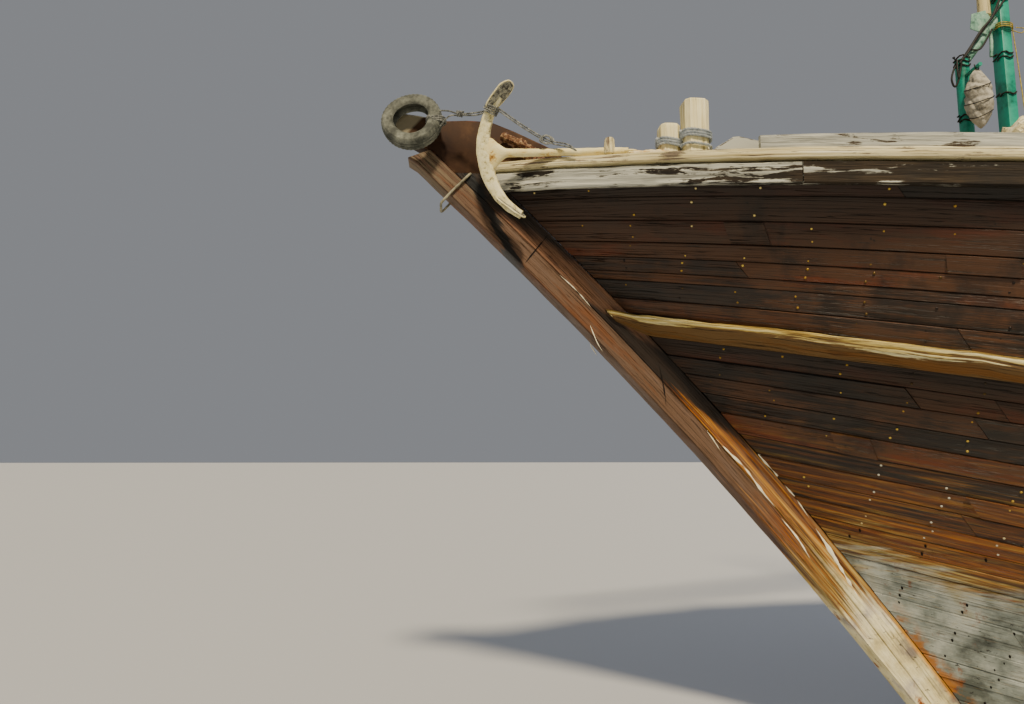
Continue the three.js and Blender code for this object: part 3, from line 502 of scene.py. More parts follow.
def limed(line, amber_high, wash_high, by="place", across=12.0, amber_share=0.8, weep=0.8, coats=GREY_LIME,
          rise=0.13):
    """Lime below strake line, and above its ragged edge a yellow wash, then amber streaks, to the heights
    given."""
    def end(tree, colour, rough, height, maps):
        long_way = (0.5, across, 1.0) if by == "uv" else (0.55, 0.55, 5.0)
        fine_way = (1.6, across * 2.4, 1.0) if by == "uv" else (2.2, 2.2, 26.0)
        ragged = streaks(tree, maps, long_way, 0.3, 0.7, 0.0, by)
        fine = streaks(tree, maps, fine_way, 0.3, 0.7, 3.0, by)
        edge = add(tree, "ShaderNodeMath", {0: ragged, 1: 0.075, 2: maps["girth"]},
                   operation="MULTIPLY_ADD").outputs[0]
        edge = add(tree, "ShaderNodeMath", {0: fine, 1: 0.05, 2: edge}, operation="MULTIPLY_ADD").outputs[0]
        grainy = streaks(tree, maps, (0.9, 20.0, 1.0), 0.42, 0.62, 11.0, "uv")
        hairs = streaks(tree, maps, (1.6, 60.0, 1.0), 0.40, 0.60, 2.0, "uv")
        gold = add(tree, "ShaderNodeValToRGB", {0: maps["band"]},
                   stops=[(0.34, "#4f260b"), (0.45, "#95510f"), (0.54, "#c47a17"),
                          (0.7, "#d3a943")]).outputs[0]
        amber = between(tree, edge, line + amber_high, line + amber_high - rise)
        amber = both(tree, both(tree, amber, grainy), amber_share)
        colour, rough = veil(tree, amber, colour, rough, gold, 0.42)
        olive = add(tree, "ShaderNodeValToRGB", {0: maps["band"]},
                    stops=[(0.36, "#2c2110"), (0.45, "#806b2c"), (0.55, "#c2ae5c"),
                           (0.68, "#ddcf94")]).outputs[0]
        wash = both(tree, between(tree, edge, line + wash_high, line), hairs)
        colour, rough = veil(tree, both(tree, wash, 0.92), colour, rough, olive, 0.6)
        holes = between(tree, maps["pore"], 0.30, 0.37)
        cloudy = add(tree, "ShaderNodeValToRGB", {0: maps["blot"]},
                     stops=list(zip((0.36, 0.46, 0.56, 0.68), coats))).outputs[0]
        coat = between(tree, edge, line + 0.012, line - 0.03)
        colour, rough = veil(tree, both(tree, coat, holes), colour, rough, cloudy, 0.8)
        rubbed = streaks(tree, maps, (0.8, 0.8, 9.0), 0.60, 0.72, 17.0)
        colour, rough = veil(tree, both(tree, both(tree, coat, rubbed), 0.6), colour, rough, "#3d4140", 0.7)
        specks = streaks(tree, maps, (11.0, 11.0, 20.0), 0.63, 0.67, 21.0)
        colour, rough = veil(tree, both(tree, both(tree, coat, specks), 0.85), colour, rough, "#17130f", 0.7)
        rust = streaks(tree, maps, (3.2, 3.2, 2.0), 0.60, 0.66, 9.0)
        colour, rough = veil(tree, both(tree, both(tree, coat, rust), weep), colour, rough, "#8f4a10", 0.75)
        return colour, rough, height

    return end


def teak_weather_and_shade(tree, colour, rough, height, maps):
    """Worn orange runs and grey dust on the planks, and black painted shade under the wale and the rail."""
    worn = both(tree, streaks(tree, maps, (0.8, 3.4, 1.0), 0.52, 0.60, 4.0, "uv"),
                between(tree, maps["tone"], 0.15, 0.5))
    colour, rough = veil(tree, both(tree, worn, 0.75), colour, rough, "#6b2f0a", 0.32)
    dull = both(tree, streaks(tree, maps, (0.5, 0.5, 1.6), 0.44, 0.54, 66.0),
                between(tree, maps["tone"], 0.3, 0.12))
    colour, rough = veil(tree, both(tree, dull, 0.8), colour, rough, "#221f1d", 0.45)
    dust = streaks(tree, maps, (1.4, 1.4, 4.2), 0.52, 0.66, 31.0)
    colour, rough = veil(tree, both(tree, dust, 0.4), colour, rough, "#43342a", 0.5)
    smears = streaks(tree, maps, (1.5, 1.5, 1.1), 0.54, 0.64, 47.0)
    colour, rough = veil(tree, both(tree, smears, 0.6), colour, rough, "#0d0a08", 0.35)
    holes = streaks(tree, maps, (9.0, 9.0, 9.0), 0.675, 0.70, 53.0)
    colour, rough = veil(tree, both(tree, holes, 0.8), colour, rough, "#050403", 0.6)
    # Painted shade: near-black on the planks just under the wale and under the rail, where their shadows
    # fall.
    under_wale = both(tree, between(tree, maps["girth"], 0.70, 0.772),
                      between(tree, maps["girth"], 0.80, 0.779))
    under_rail = between(tree, maps["girth"], 0.86, 0.97)
    shade_under_wale_and_rail = both(tree, both(tree, under_wale, under_rail, "MAXIMUM"), 0.85)
    colour, rough = veil(tree, shade_under_wale_and_rail, colour, rough, "#070504", 0.5)
    colour, rough, height = limed(PAINT_V + 0.062, 0.19, 0.055)(tree, colour, rough, height, maps)
    joint, z = from_rabbet(tree, maps)
    weeping = both(tree, both(tree, between(tree, joint, -0.15, -0.04), between(tree, z, 1.6, 1.2)),
                   streaks(tree, maps, (2.4, 2.4, 3.0), 0.46, 0.52, 71.0))
    colour, rough = veil(tree, both(tree, weeping, 0.9), colour, rough, "#b8720f", 0.4)
    return colour, rough, height


def from_rabbet(tree, maps):
    """How far forward of the stem rabbet a point is, in metres, and its height."""
    apart = add(tree, "ShaderNodeSeparateXYZ", {0: maps["place"]}).outputs
    slope = add(tree, "ShaderNodeMath", {0: apart["Z"], 1: -RABBET[2], 2: -RABBET[1]},
                operation="MULTIPLY_ADD").outputs[0]
    ahead = add(tree, "ShaderNodeMath", {0: slope, 1: apart["Z"], 2: apart["X"]},
                operation="MULTIPLY_ADD").outputs[0]
    return add(tree, "ShaderNodeMath", {0: ahead, 1: RABBET[0]}, operation="SUBTRACT").outputs[0], apart["Z"]


TEAK = timber("oiled teak planks", ("#030201", "#0b0705", "#170f0a", "#291a10", "#55351d"), 0.40, pores=0.5,
              splits=0.75, stains=0.8, gloss=0.38, bump=0.009, end=teak_weather_and_shade)
CAULK, caulk_tree, caulk_shader = new_material("tarred caulking")
caulk_shader.inputs["Base Color"].default_value = linear("#120d0a")
caulk_noise = add(caulk_tree, "ShaderNodeTexNoise", {"Scale": 60.0, "Detail": 4})
caulk_shader.inputs["Specular IOR Level"].default_value = 0.2
rough_tar = add(caulk_tree, "ShaderNodeMapRange",
                {"Value": caulk_noise.outputs["Fac"], "To Min": 0.6, "To Max": 0.95})
caulk_tree.links.new(rough_tar.outputs[0], caulk_shader.inputs["Roughness"])
NAIL, nail_tree, nail_shader = new_material("galvanised nail heads")
nail_noise = add(nail_tree, "ShaderNodeTexNoise", {"Scale": 2.6, "Detail": 2})
nail_colour = add(nail_tree, "ShaderNodeValToRGB", {0: nail_noise.outputs["Fac"]},
                  stops=[(0.37, "#1c1410"), (0.45, "#a8832a"), (0.55, "#e3c85c"), (0.65, "#d2d0be")])
nail_tree.links.new(nail_colour.outputs[0], nail_shader.inputs["Base Color"])
nail_shader.inputs["Metallic"].default_value = 0.5
nail_shader.inputs["Roughness"].default_value = 0.38

# %% [markdown]
# Carvel planking: every strake is laid edge to edge on the frames and made up of planks four or five metres
# long, their ends staggered from strake to strake. Between them show the caulked seams. Each plank here is
# a closed bar with eased edges, and they lie on a thick dark shell, so that a seam is a real groove and no
# light comes through.

# %% Planking
SEAMS = [0.0, 0.03, 0.06, 0.09, 0.12, 0.15, 0.18, 0.21, 0.24, 0.27, 0.30, 0.33, 0.36, 0.39, 0.415, 0.44,
         0.465, 0.49, 0.515, 0.541, 0.566, 0.593, 0.620, 0.648, 0.677, 0.703, 0.729, 0.754, 0.779, 0.808,
         0.832, 0.857, 0.869, 0.888, 0.908, 0.935, 0.963, 1.0]
PLANK = [(0.0, -0.006), (0.03, 0.0), (0.5, 0.002), (0.97, 0.0), (1.0, -0.005), (1.0, -0.04), (0.0, -0.04)]
GRAVING = ((0.738, 0.775, 0.8885, 0.9075), (0.515, 0.545, 0.8575, 0.8685), (0.862, 0.885, 0.909, 0.934),
           (0.62, 0.66, 0.678, 0.7025), (0.905, 0.93, 0.6485, 0.6765), (0.30, 0.34, 0.909, 0.934))
FRAME_SPACING = 0.43
choose = random.Random(7)


def lengths(strake):
    """Where the butts of a strake fall, as values of s."""
    start = -1.0 + 0.13 + 0.45 * ((strake * 0.37) % 1)
    cuts = [-1.0]
    while start < 0.93:
        cuts.append(start)
        start += choose.uniform(0.38, 0.55)
        if choose.random() < 0.12 and start < 0.8:
            cuts.append(start)
            start += 0.05
    return cuts + [1.0]


def planking(bm, side):
    for strake, (low, high) in enumerate(zip(SEAMS, SEAMS[1:])):
        cuts = lengths(strake)
        for aft, fore in zip(cuts, cuts[1:]):
            proud, tone = choose.uniform(-0.005, 0.006), choose.random() ** 1.7
            steps = max(3, round((fore - aft) * 34))
            wave = choose.uniform(0, 9)

            def place(a, b):
                share, out = PLANK[round(b * len(PLANK)) % len(PLANK)]
                s = mix(aft + 0.0002, fore - 0.0002, a)
                v = mix(low + 0.0004, high - 0.0004, share)
                if 0 < share < 1:
                    out += proud + 0.0025 * math.sin(wave + 9 * s + 3 * share)
                elif out > -0.03:
                    out *= 0.9 + 1.4 * noise.noise(Vector((5 * s, strake + share, 0)))
                return skin(s, v, out, side)

            length = (fore - aft) * 11.5
            loft(bm, steps, len(PLANK), place, (length, 0.6), tone,
                 girth=lambda a, b: mix(low, high, PLANK[round(b * len(PLANK)) % len(PLANK)][0]),
                 shift=choose.uniform(0, 40))
    for aft, fore, low, high in GRAVING:
        def patch(a, b):
            share, out = PLANK[round(b * len(PLANK)) % len(PLANK)]
            return skin(mix(aft, fore, a) - 0.006 * share, mix(low, high, share), out + 0.011, side)

        loft(bm, 4, len(PLANK), patch, ((fore - aft) * 11.5, 0.6), 1.0, mix(low, high, 0.5), shift=aft * 50)


def shell(bm, side):
    rows = [0.0, 0.07, 0.14, 0.21, 0.28, 0.34, 0.40, 0.45, 0.49, 0.55, 0.6, 0.7, 0.8, 0.9, 1.0]

    def place(a, b):
        k = round(b * 2 * len(rows)) % (2 * len(rows))
        s = mix(-1, 1, a)
        outer = k < len(rows)
        v = rows[k if outer else 2 * len(rows) - 1 - k]
        at = skin(s, v, -0.013 if outer else -0.145)
        return Vector((at.x, side * max(at.y, 0.13 if outer else 0.02),
                       at.z - (0 if outer or v > 0 else -0.1)))

    loft(bm, 60, 2 * len(rows), place, (22, 8), 0.3)


port_and_starboard(planking, "hull_planking", TEAK, "teak", ["bulwark"])
hull_shells = port_and_starboard(shell, "hull_shell", CAULK, "teak")
for each in hull_shells:
    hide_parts("hull_topsides", "hull_bottom")

# %% [markdown]
# Nails show on every plank, two to a frame, in columns about forty centimetres apart, some bright and some
# lost under oil. One head is made with create_cone and copied a few thousand times by matrices into one
# mesh, which keeps each head to a few faces.

# %% Nail heads
NAIL_RADIUS, NAIL_PROUD = 0.0125, 0.006


def nail_places(side):
    draw = random.Random(21 + side)
    high_up, low_down = [], []
    x = -9.6
    while x < 12.0:
        x += FRAME_SPACING * draw.uniform(0.88, 1.12)
        for low, high in zip(SEAMS, SEAMS[1:]):
            if high - low < 0.014:
                continue
            for share in (0.24, 0.76):
                v = mix(low, high, share)
                s = station(x + draw.uniform(-0.03, 0.03), v)
                if abs(s) < 0.985 and draw.random() < 0.72:
                    centre, outer = skin(s, v, 0.0015, side), skin(s, v, 0.05, side)
                    turn = (outer - centre).to_track_quat("Z", "Y").to_matrix().to_4x4()
                    if v < PAINT_V + 0.05:
                        low_down.append(Matrix.Translation(centre) @ turn @ Matrix.Diagonal((0.9, 1.7, 0.5,
                                1)))
                    else:
                        high_up.append(Matrix.Translation(centre) @ turn)
    return high_up, low_down


for side, word in ((1, "port"), (-1, "starboard")):
    head = bmesh.new()
    bmesh.ops.create_cone(head, cap_ends=True, segments=6, radius1=NAIL_RADIUS, radius2=NAIL_RADIUS * 0.6,
                          depth=NAIL_PROUD)
    high_up, low_down = nail_places(side)
    scatter(head, high_up, f"hull_nails_{word}", NAIL)
    scatter(head, low_down, f"hull_nail_holes_{word}", CAULK)
    head.free()

# %% [markdown]
# The backbone: keel, stem, false stem and sternpost are great sawn baulks of hardwood thirty centimetres
# thick. The stem is two of them, one along the other's front, and both curve a little, so each is lofted
# between its two edges, with the corners eased and the faces left as uneven as an adze leaves them.

# %% Backbone timber
CREAM_LIME = ("#857b70", "#d8cb98", "#f1e8bf", "#b5aea9")


def bare_and_grey(tree, colour, rough, maps):
    """Bare orange patches and violet-grey weathering, both along the grain."""
    bare = streaks(tree, maps, (0.6, 3.2, 1.0), 0.53, 0.61, 6.0, "uv")
    colour, rough = veil(tree, both(tree, bare, 0.6), colour, rough, "#6f3f1a", 0.45)
    pale = streaks(tree, maps, (0.8, 4.5, 1.0), 0.51, 0.62, 14.0, "uv")
    return veil(tree, both(tree, pale, 0.6), colour, rough, "#6c5a4e", 0.6)


def stem_weather_and_shade(tree, colour, rough, height, maps):
    """Painted blue-black shade under the wale and near the head; low down the baulk is worn to amber."""
    colour, rough = bare_and_grey(tree, colour, rough, maps)
    ragged = streaks(tree, maps, (0.9, 3.0, 1.0), 0.3, 0.7, 8.0, "uv")
    joint, z = from_rabbet(tree, maps)
    leaning = add(tree, "ShaderNodeMath", {0: joint, 1: -0.22, 2: maps["girth"]},
                  operation="MULTIPLY_ADD").outputs[0]
    high = add(tree, "ShaderNodeMath", {0: ragged, 1: 0.05, 2: leaning}, operation="MULTIPLY_ADD").outputs[0]
    # Painted shade: blue-black bands on the inner baulk under the wale and near the head.
    under_wale = both(tree, between(tree, high, 0.635, 0.66), between(tree, high, 0.82, 0.78))
    old = both(tree, both(tree, under_wale, between(tree, high, 0.87, 0.92), "MAXIMUM"), 0.9)
    colour, rough = veil(tree, old, colour, rough, "#141818", 0.45)
    leant = dict(maps, girth=leaning)
    colour, rough, height = limed(0.475, 0.235, 0.14, "uv", 9.0, 1.0, 1.0, CREAM_LIME, 0.03)(tree, colour,
            rough, height, leant)
    weeping = both(tree, both(tree, between(tree, joint, 0.07, 0.02), between(tree, z, 1.7, 1.2)),
                   streaks(tree, maps, (2.4, 2.4, 3.0), 0.42, 0.50, 71.0))
    colour, rough = veil(tree, both(tree, weeping, 0.85), colour, rough, "#c98a1c", 0.4)
    # Over it all goes the painted shadow of the anchor arm.
    return painted_anchor_shadow(tree, colour, rough, maps) + (height,)


def painted_anchor_shadow(tree, colour, rough, maps):
    """Painted shadow of the anchor arm, a blue-black band down across both baulks from under the anchor."""
    apart = add(tree, "ShaderNodeSeparateXYZ", {0: maps["place"]}).outputs
    across = add(tree, "ShaderNodeMath", {0: apart["X"], 1: 0.9155, 2: -8.426 - 0.055},
                 operation="MULTIPLY_ADD").outputs[0]
    across = add(tree, "ShaderNodeMath", {0: apart["Z"], 1: -0.5004, 2: across},
                 operation="MULTIPLY_ADD").outputs[0]
    across = add(tree, "ShaderNodeMath", {0: maps["band"], 1: 0.10, 2: across},
                 operation="MULTIPLY_ADD").outputs[0]
    away = add(tree, "ShaderNodeMath", {0: across}, operation="ABSOLUTE").outputs[0]
    stripe = both(tree, between(tree, away, 0.052, 0.040), between(tree, apart["Z"], 4.6, 4.9))
    return veil(tree, both(tree, stripe, 0.92), colour, rough, "#15191b", 0.45)


def false_stem_weather_and_shadow(tree, colour, rough, height, maps):
    colour, rough = bare_and_grey(tree, colour, rough, maps)
    colour, rough, height = limed(0.487, 0.15, 0.09, "uv", 9.0, 0.95, 1.0, CREAM_LIME, 0.06)(tree, colour,
            rough, height, maps)
    z = add(tree, "ShaderNodeSeparateXYZ", {0: maps["place"]}).outputs["Z"]
    dry = both(tree, between(tree, z, 5.3, 5.7), streaks(tree, maps, (1.2, 9.0, 1.0), 0.46, 0.56, 23.0, "uv"))
    colour, rough = veil(tree, both(tree, dry, 0.6), colour, rough, "#786c55", 0.6)
    # Over it all goes the painted shadow of the anchor arm.
    return painted_anchor_shadow(tree, colour, rough, maps) + (height,)


STEM_OIL = timber("oiled stem hardwood", ("#0e0806", "#22150e", "#3d281c", "#5b3d2b", "#845f45"), 0.52,
                  pores=0.5, splits=1.0, stains=0.75, gloss=0.25, bump=0.014, end=stem_weather_and_shade)
FALSE_OIL = timber("weathered false stem", ("#0a0604", "#170e0a", "#2a1b13", "#422c20", "#67503f"), 0.58,
                   pores=0.5, splits=1.0, stains=0.75, gloss=0.2, bump=0.014, end=false_stem_weather_and_shadow)
post_lime = limed(PAINT_V + 0.05, 0.12, 0.05)
POST_OIL = timber("oiled post hardwood", ("#0d0806", "#1f120b", "#352015", "#4d2e1c", "#6f4526"), 0.55,
                  pores=0.45, splits=0.9, stains=0.6, gloss=0.35, bump=0.01, end=post_lime)


def along(points, share):
    """The point at a share of the length of a polyline in XZ."""
    pieces = [math.dist(one, two) for one, two in zip(points, points[1:])]
    goal = share * sum(pieces)
    for piece, one, two in zip(pieces, points, points[1:]):
        if goal <= piece + 1e-9:
            t = goal / piece
            return mix(one[0], two[0], t), mix(one[1], two[1], t)
        goal -= piece
    return points[-1]


def rough_by(at, size, scale):
    return noise.noise_vector(Vector(at) * scale) * size


def stem_girth(z, fore=True):
    return (z - KEEL_TOP) / ((RAIL_BOW if fore else RAIL_STERN) - KEEL_TOP)


SECTION = [(0.0, 0.93), (0.035, 1.0), (0.25, 1.0), (0.5, 1.0), (0.75, 1.0), (0.965, 1.0), (1.0, 0.93)]


def baulk(bm, inner, outer, half, steps, adze=0.005, tone=0.5, fore=True):
    """A timber between two edges in the centre plane, half thick to each side."""
    corners = SECTION + [(t, -y) for t, y in reversed(SECTION)]
    length = sum(math.dist(one, two) for one, two in zip(outer, outer[1:]))

    def place(a, b):
        t, y = corners[round(b * len(corners)) % len(corners)]
        (x0, z0), (x1, z1) = along(inner, a), along(outer, a)
        at = Vector((mix(x0, x1, t), y * half, mix(z0, z1, t)))
        rough = rough_by(at + Vector((0, 5 * y, 0)), adze, 2.2) + rough_by(at, adze * 0.5, 9.0)
        return at + Vector((rough.x, rough.y * 0.6 - (adze * 0.5 if y > 0 else -adze * 0.5), 0))

    girth = (lambda a, b: stem_girth(place(a, b).z, fore))
    loft(bm, steps, len(corners), place, (length, 1.3), tone, girth, shift=tone * 7)


def heights(low, high, count=24):
    return [mix(low, high, k / count) for k in range(count + 1)]


seam_line = [(curve_x(STEM_SEAM, z), z) for z in heights(-1.0, 5.8)]
rabbet_line = [(curve_x(RABBET, z), z) for z in heights(-1.75, 5.8)]
face_line = [(curve_x(STEM_FACE, z), z) for z in heights(-1.0, 5.9)]
PLAY = 0.002

bm = bmesh.new()
inner = [(5.9, KEEL_BOTTOM), (5.93, KEEL_TOP)] + rabbet_line[1:]
baulk(bm, inner, [(6.2, KEEL_BOTTOM), (6.42, -1.64)] + seam_line, SIDING / 2, 90, tone=0.35)
finish(bm, "stem", STEM_OIL, "stem_wood", ["stem"])

bm = bmesh.new()
seam_high = seam_line + [(curve_x(STEM_SEAM, z), z) for z in (5.9, 6.0, 6.04)]
baulk(bm, [(x + PLAY, z) for x, z in seam_high], face_line + [(12.995, 5.95)], SIDING / 2, 90, 0.007,
      tone=0.6)
finish(bm, "false_stem", FALSE_OIL, "stem_wood", ["false_stem"])

# %% [markdown]
# Where the baulk is rubbed, long splinters have lifted along the joints and show the raw pale wood. Two dark
# diagonal lines cross it: the upper is a scarf joining its lengths, the lower a painted rope shadow. All are
# thin flattened bars on the timber's two faces.

# %% Splinters, a scarf and a painted rope shadow
RAW_WOOD = timber("raw splintered wood", ("#7a5418", "#b38d3c", "#dcc374", "#eee0a4", "#f6efd2"), 0.6,
                  splits=0.6, stains=0.4)
SPLINTERS = (([(9.66, 3.24), (9.603, 3.18), (9.405, 2.929), (9.107, 2.579), (8.92, 2.30)], 0.020),
             ([(8.86, 2.20), (8.72, 1.983), (8.58, 1.74), (8.435, 1.493)], 0.024),
             ([(9.856, 3.089), (9.70, 2.93), (9.566, 2.799), (9.40, 2.57), (9.271, 2.411)], 0.019),
             ([(9.95, 3.17), (9.89, 3.09), (9.80, 2.95)], 0.010),
             ([(9.21, 2.30), (9.05, 2.10), (8.93, 1.90)], 0.014),
             ([(11.433, 4.749), (11.269, 4.596), (11.117, 4.423)], 0.010),
             ([(11.13, 4.237), (11.06, 4.063), (11.0, 3.962)], 0.009))
# The lower line is a painted rope shadow; the upper is a scarf's joint.
SCARF_AND_ROPE_SHADOW_LINES = ([(10.43, 3.87), (10.38, 3.6), (10.36, 3.41)], [(11.554, 5.166), (11.67, 5.02), (11.791, 4.867)])


def slivers(bm, side, lines=SPLINTERS, proud=0.010):
    for points, wide in lines:
        route = [(x, side * SIDING / 2, z) for x, z in points]
        steps = 48
        line, length = path(route, steps)

        def place(a, b):
            at = line[round(a * steps)][0]
            nearby = line[min(round(a * steps) + 1, steps)][0] - line[max(round(a * steps) - 1, 0)][0]
            across = Vector((-nearby.z, 0, nearby.x)).normalized()
            turn = 2 * math.pi * b
            taper = max(1 - abs(2 * a - 1) ** 3, 0.03) * max(0.55 + 0.8 * noise.noise(at * 13), 0.08)
            return at + across * math.cos(turn) * wide * taper + Vector((0,
                    side * math.sin(turn) * proud * taper, 0))

        loft(bm, steps, 8, place, (length, wide * 3), 0.8, shift=points[0][0])


port_and_starboard(slivers, "stem_splinters", RAW_WOOD, "stem_wood")
port_and_starboard(lambda bm, side: slivers(bm, side, [(points, 0.011) for points in SCARF_AND_ROPE_SHADOW_LINES], 0.005),
                   "stem_scarfs", CAULK, "stem_wood")

# %% [markdown]
# The stem ends in a thick board that stands forward of the rail like a beak, its top edge worn round, its
# sawn end grey and cracked. Its cheeks are left bare and oiled.

# %% Stem head
HEAD_SIDING = 0.24
bm = bmesh.new()
head_top = [(13.08, 6.2), (13.155, 6.29), (13.145, 6.445), (12.9, 6.42), (12.62, 6.37), (12.4, 6.385),
            (12.15, 6.38), (11.9, 6.285), (11.63, 6.165), (11.4, 6.06)]
head_foot = [(curve_x(STEM_SEAM, z) - PLAY, z) for z in (5.8, 5.9, 6.03)]
plate(bm, head_foot + head_top + [(11.39, 5.802)], -HEAD_SIDING / 2, HEAD_SIDING / 2, 0.016, (1, 0, 0.12),
      tone=0.15)


def head_weather(tree, colour, rough, height, maps):
    """Orange where it is rubbed, and at the fore end, where the end grain is, bleached to a pale
    grey-cream."""
    rubbed = streaks(tree, maps, (1.2, 4.0, 1.0), 0.55, 0.62, 5.0, "uv")
    colour, rough = veil(tree, both(tree, rubbed, 0.45), colour, rough, "#7a3f16", 0.5)
    apart = add(tree, "ShaderNodeSeparateXYZ", {0: maps["place"]})
    slanted = add(tree, "ShaderNodeMath", {0: apart.outputs["Z"], 1: 0.9, 2: apart.outputs["X"]},
                  operation="MULTIPLY_ADD")
    slanted = add(tree, "ShaderNodeMath", {0: maps["band"], 1: 0.25, 2: slanted.outputs[0]},
                  operation="MULTIPLY_ADD")
    bleached = add(tree, "ShaderNodeValToRGB", {0: maps["band"]},
                   stops=[(0.34, "#6d6450"), (0.46, "#a39a80"), (0.56, "#c9c2a6"),
                          (0.7, "#dcd8c2")]).outputs[0]
    end_grain = both(tree, between(tree, slanted.outputs[0], 18.70, 18.74),
                     between(tree, apart.outputs["X"], 12.82, 12.86))
    colour, rough = veil(tree, end_grain, colour, rough, bleached, 0.75)
    return colour, rough, height


HEAD_OIL = timber("weathered head board", ("#0a0705", "#18100b", "#291a12", "#3d2a1d", "#5f4632"), 0.65,
                  pores=0.5, splits=1.0, stains=0.8, gloss=0.12, bump=0.012, end=head_weather)
finish(bm, "stem_head", HEAD_OIL, "stem_wood", ["stem_head"])

# %% [markdown]
# Keel and sternpost close the backbone below and aft. The rudder hangs on the post by three iron straps,
# each with a pin through it, and turns on that raked line; a hole cut in its fore edge leaves room for the
# propeller.

# %% Keel and sternpost
RUDDER_TILT = math.atan(0.36)
post_face = (lambda z: curve_x(STERN_RABBET, z) - 0.3)
HINGE = Matrix.Translation((post_face(KEEL_TOP) - 0.07, 0, KEEL_TOP)) @ Matrix.Rotation(-RUDDER_TILT, 4, "Y")
HINGE_HEIGHTS = (-0.06, 2.5, 5.5)
STRAP_LENGTHS = (0.55, 0.55, 0.28)
IRON, iron_tree, iron_shader = new_material("rusting wrought iron")
iron_noise = add(iron_tree, "ShaderNodeTexNoise", {"Scale": 14.0, "Detail": 8, "Roughness": 0.7})
iron_colour = add(iron_tree, "ShaderNodeValToRGB", {0: iron_noise.outputs["Fac"]},
                  stops=[(0.35, "#1b1512"), (0.5, "#3f2416"), (0.6, "#6d3b1c"), (0.7, "#8a5228")])
iron_bump = add(iron_tree, "ShaderNodeBump", {"Height": iron_noise.outputs["Fac"], "Distance": 0.004})
iron_tree.links.new(iron_colour.outputs[0], iron_shader.inputs["Base Color"])
iron_tree.links.new(iron_bump.outputs[0], iron_shader.inputs["Normal"])
iron_shader.inputs["Metallic"].default_value = 0.35
iron_shader.inputs["Roughness"].default_value = 0.75

bm = bmesh.new()
block(bm, (hull(-1, 0).x, -0.15, KEEL_BOTTOM), (5.897, 0.15, KEEL_TOP - PLAY), 0.012, girth=0.0, tone=0.3)
finish(bm, "keel", POST_OIL, "stem_wood", ["keel"])

bm = bmesh.new()
aft_line = [(post_face(z), z) for z in heights(KEEL_BOTTOM, 5.15, 12)]
fore_line = [(curve_x(STERN_RABBET, z) - PLAY, z) for z in heights(KEEL_TOP, 5.15, 12)]
baulk(bm, [(fore_line[0][0], KEEL_BOTTOM)] + fore_line, aft_line, SIDING / 2, 50, 0.004, 0.3, fore=False)
finish(bm, "sternpost", POST_OIL, "stem_wood", ["sternpost"])

bm = bmesh.new()
for at in HINGE_HEIGHTS:
    block(bm, (-0.03, -0.042, at - 0.043), (0.25, 0.042, at + 0.043), 0.012, turn=HINGE)
    for side in (1, -1):
        block(bm, (0.06, side * 0.154 - 0.006, at - 0.045), (0.55, side * 0.154 + 0.006, at + 0.045),
              0.004, turn=HINGE)
tube(bm, [(-10.02, 0, -1.1), (-9.6, 0, -1.1)], lambda a: mix(0.095, 0.11, a), 24, 3)
finish(bm, "sternpost_irons", IRON, "steel", ["sternpost"])

# %% Rudder
RUDDER_EDGE = 0.025
RUDDER_OIL = timber("oiled rudder planks", ("#0d0806", "#1d110b", "#301c12", "#4a2b1a", "#6b4023"), 0.5,
                    pores=0.45, splits=0.8, stains=0.6, gloss=0.35, bump=0.008, end=post_lime)
bm = bmesh.new()
rise = (lambda z: (z - KEEL_TOP) / math.cos(RUDDER_TILT))
low, high = rise(-1.69), rise(-0.52)
blade = [(RUDDER_EDGE, -0.148), (RUDDER_EDGE, low), (-0.65, low), (-0.65, high), (RUDDER_EDGE, high),
         (RUDDER_EDGE, 2.447), (-0.07, 2.447), (-0.07, 2.553), (RUDDER_EDGE, 2.553), (RUDDER_EDGE, 5.447),
         (-0.07, 5.447), (-0.07, 5.553), (RUDDER_EDGE, 5.553), (RUDDER_EDGE, 6.648), (-0.26, 6.648),
         (-0.42, 3.2), (-1.2, 1.9), (-1.5, 0.9), (-1.5, -0.04), (-1.3, -0.148)]
faces = plate(bm, blade, -0.058, 0.058, 0.008, (0, 0, 1), HINGE, tone=0.4)
girths = bm.verts.layers.float["girth"]
for vert in bm.verts:
    vert[girths] = stem_girth(vert.co.z, fore=False)
finish(bm, "rudder_blade", RUDDER_OIL, "teak", ["rudder"], body="rudder")

bm = bmesh.new()
for at, reach in zip(HINGE_HEIGHTS, STRAP_LENGTHS):
    tube(bm, [HINGE @ Vector((0, 0, at + lift)) for lift in (-0.09, 0, 0.09)], 0.019, 12, 2)
    for side in (1, -1):
        for lift in (-0.085, 0.085):
            block(bm, (-reach, side * 0.062 - 0.005, at + lift - 0.03),
                  (0.022, side * 0.062 + 0.005, at + lift + 0.03), 0.003, turn=HINGE)
block(bm, (-0.198, -0.43, 6.42), (-0.062, 0.43, 6.53), 0.015, turn=HINGE)
finish(bm, "rudder_irons", IRON, "steel", ["rudder"], body="rudder")

# %% [markdown]
# Along the top runs the rail: a broad cap on the plank ends, and under it a deep strake, both once painted.
# The paint has gone as paint on timber goes, in flakes, cream on top and blotchy white below, with grey
# wood between.

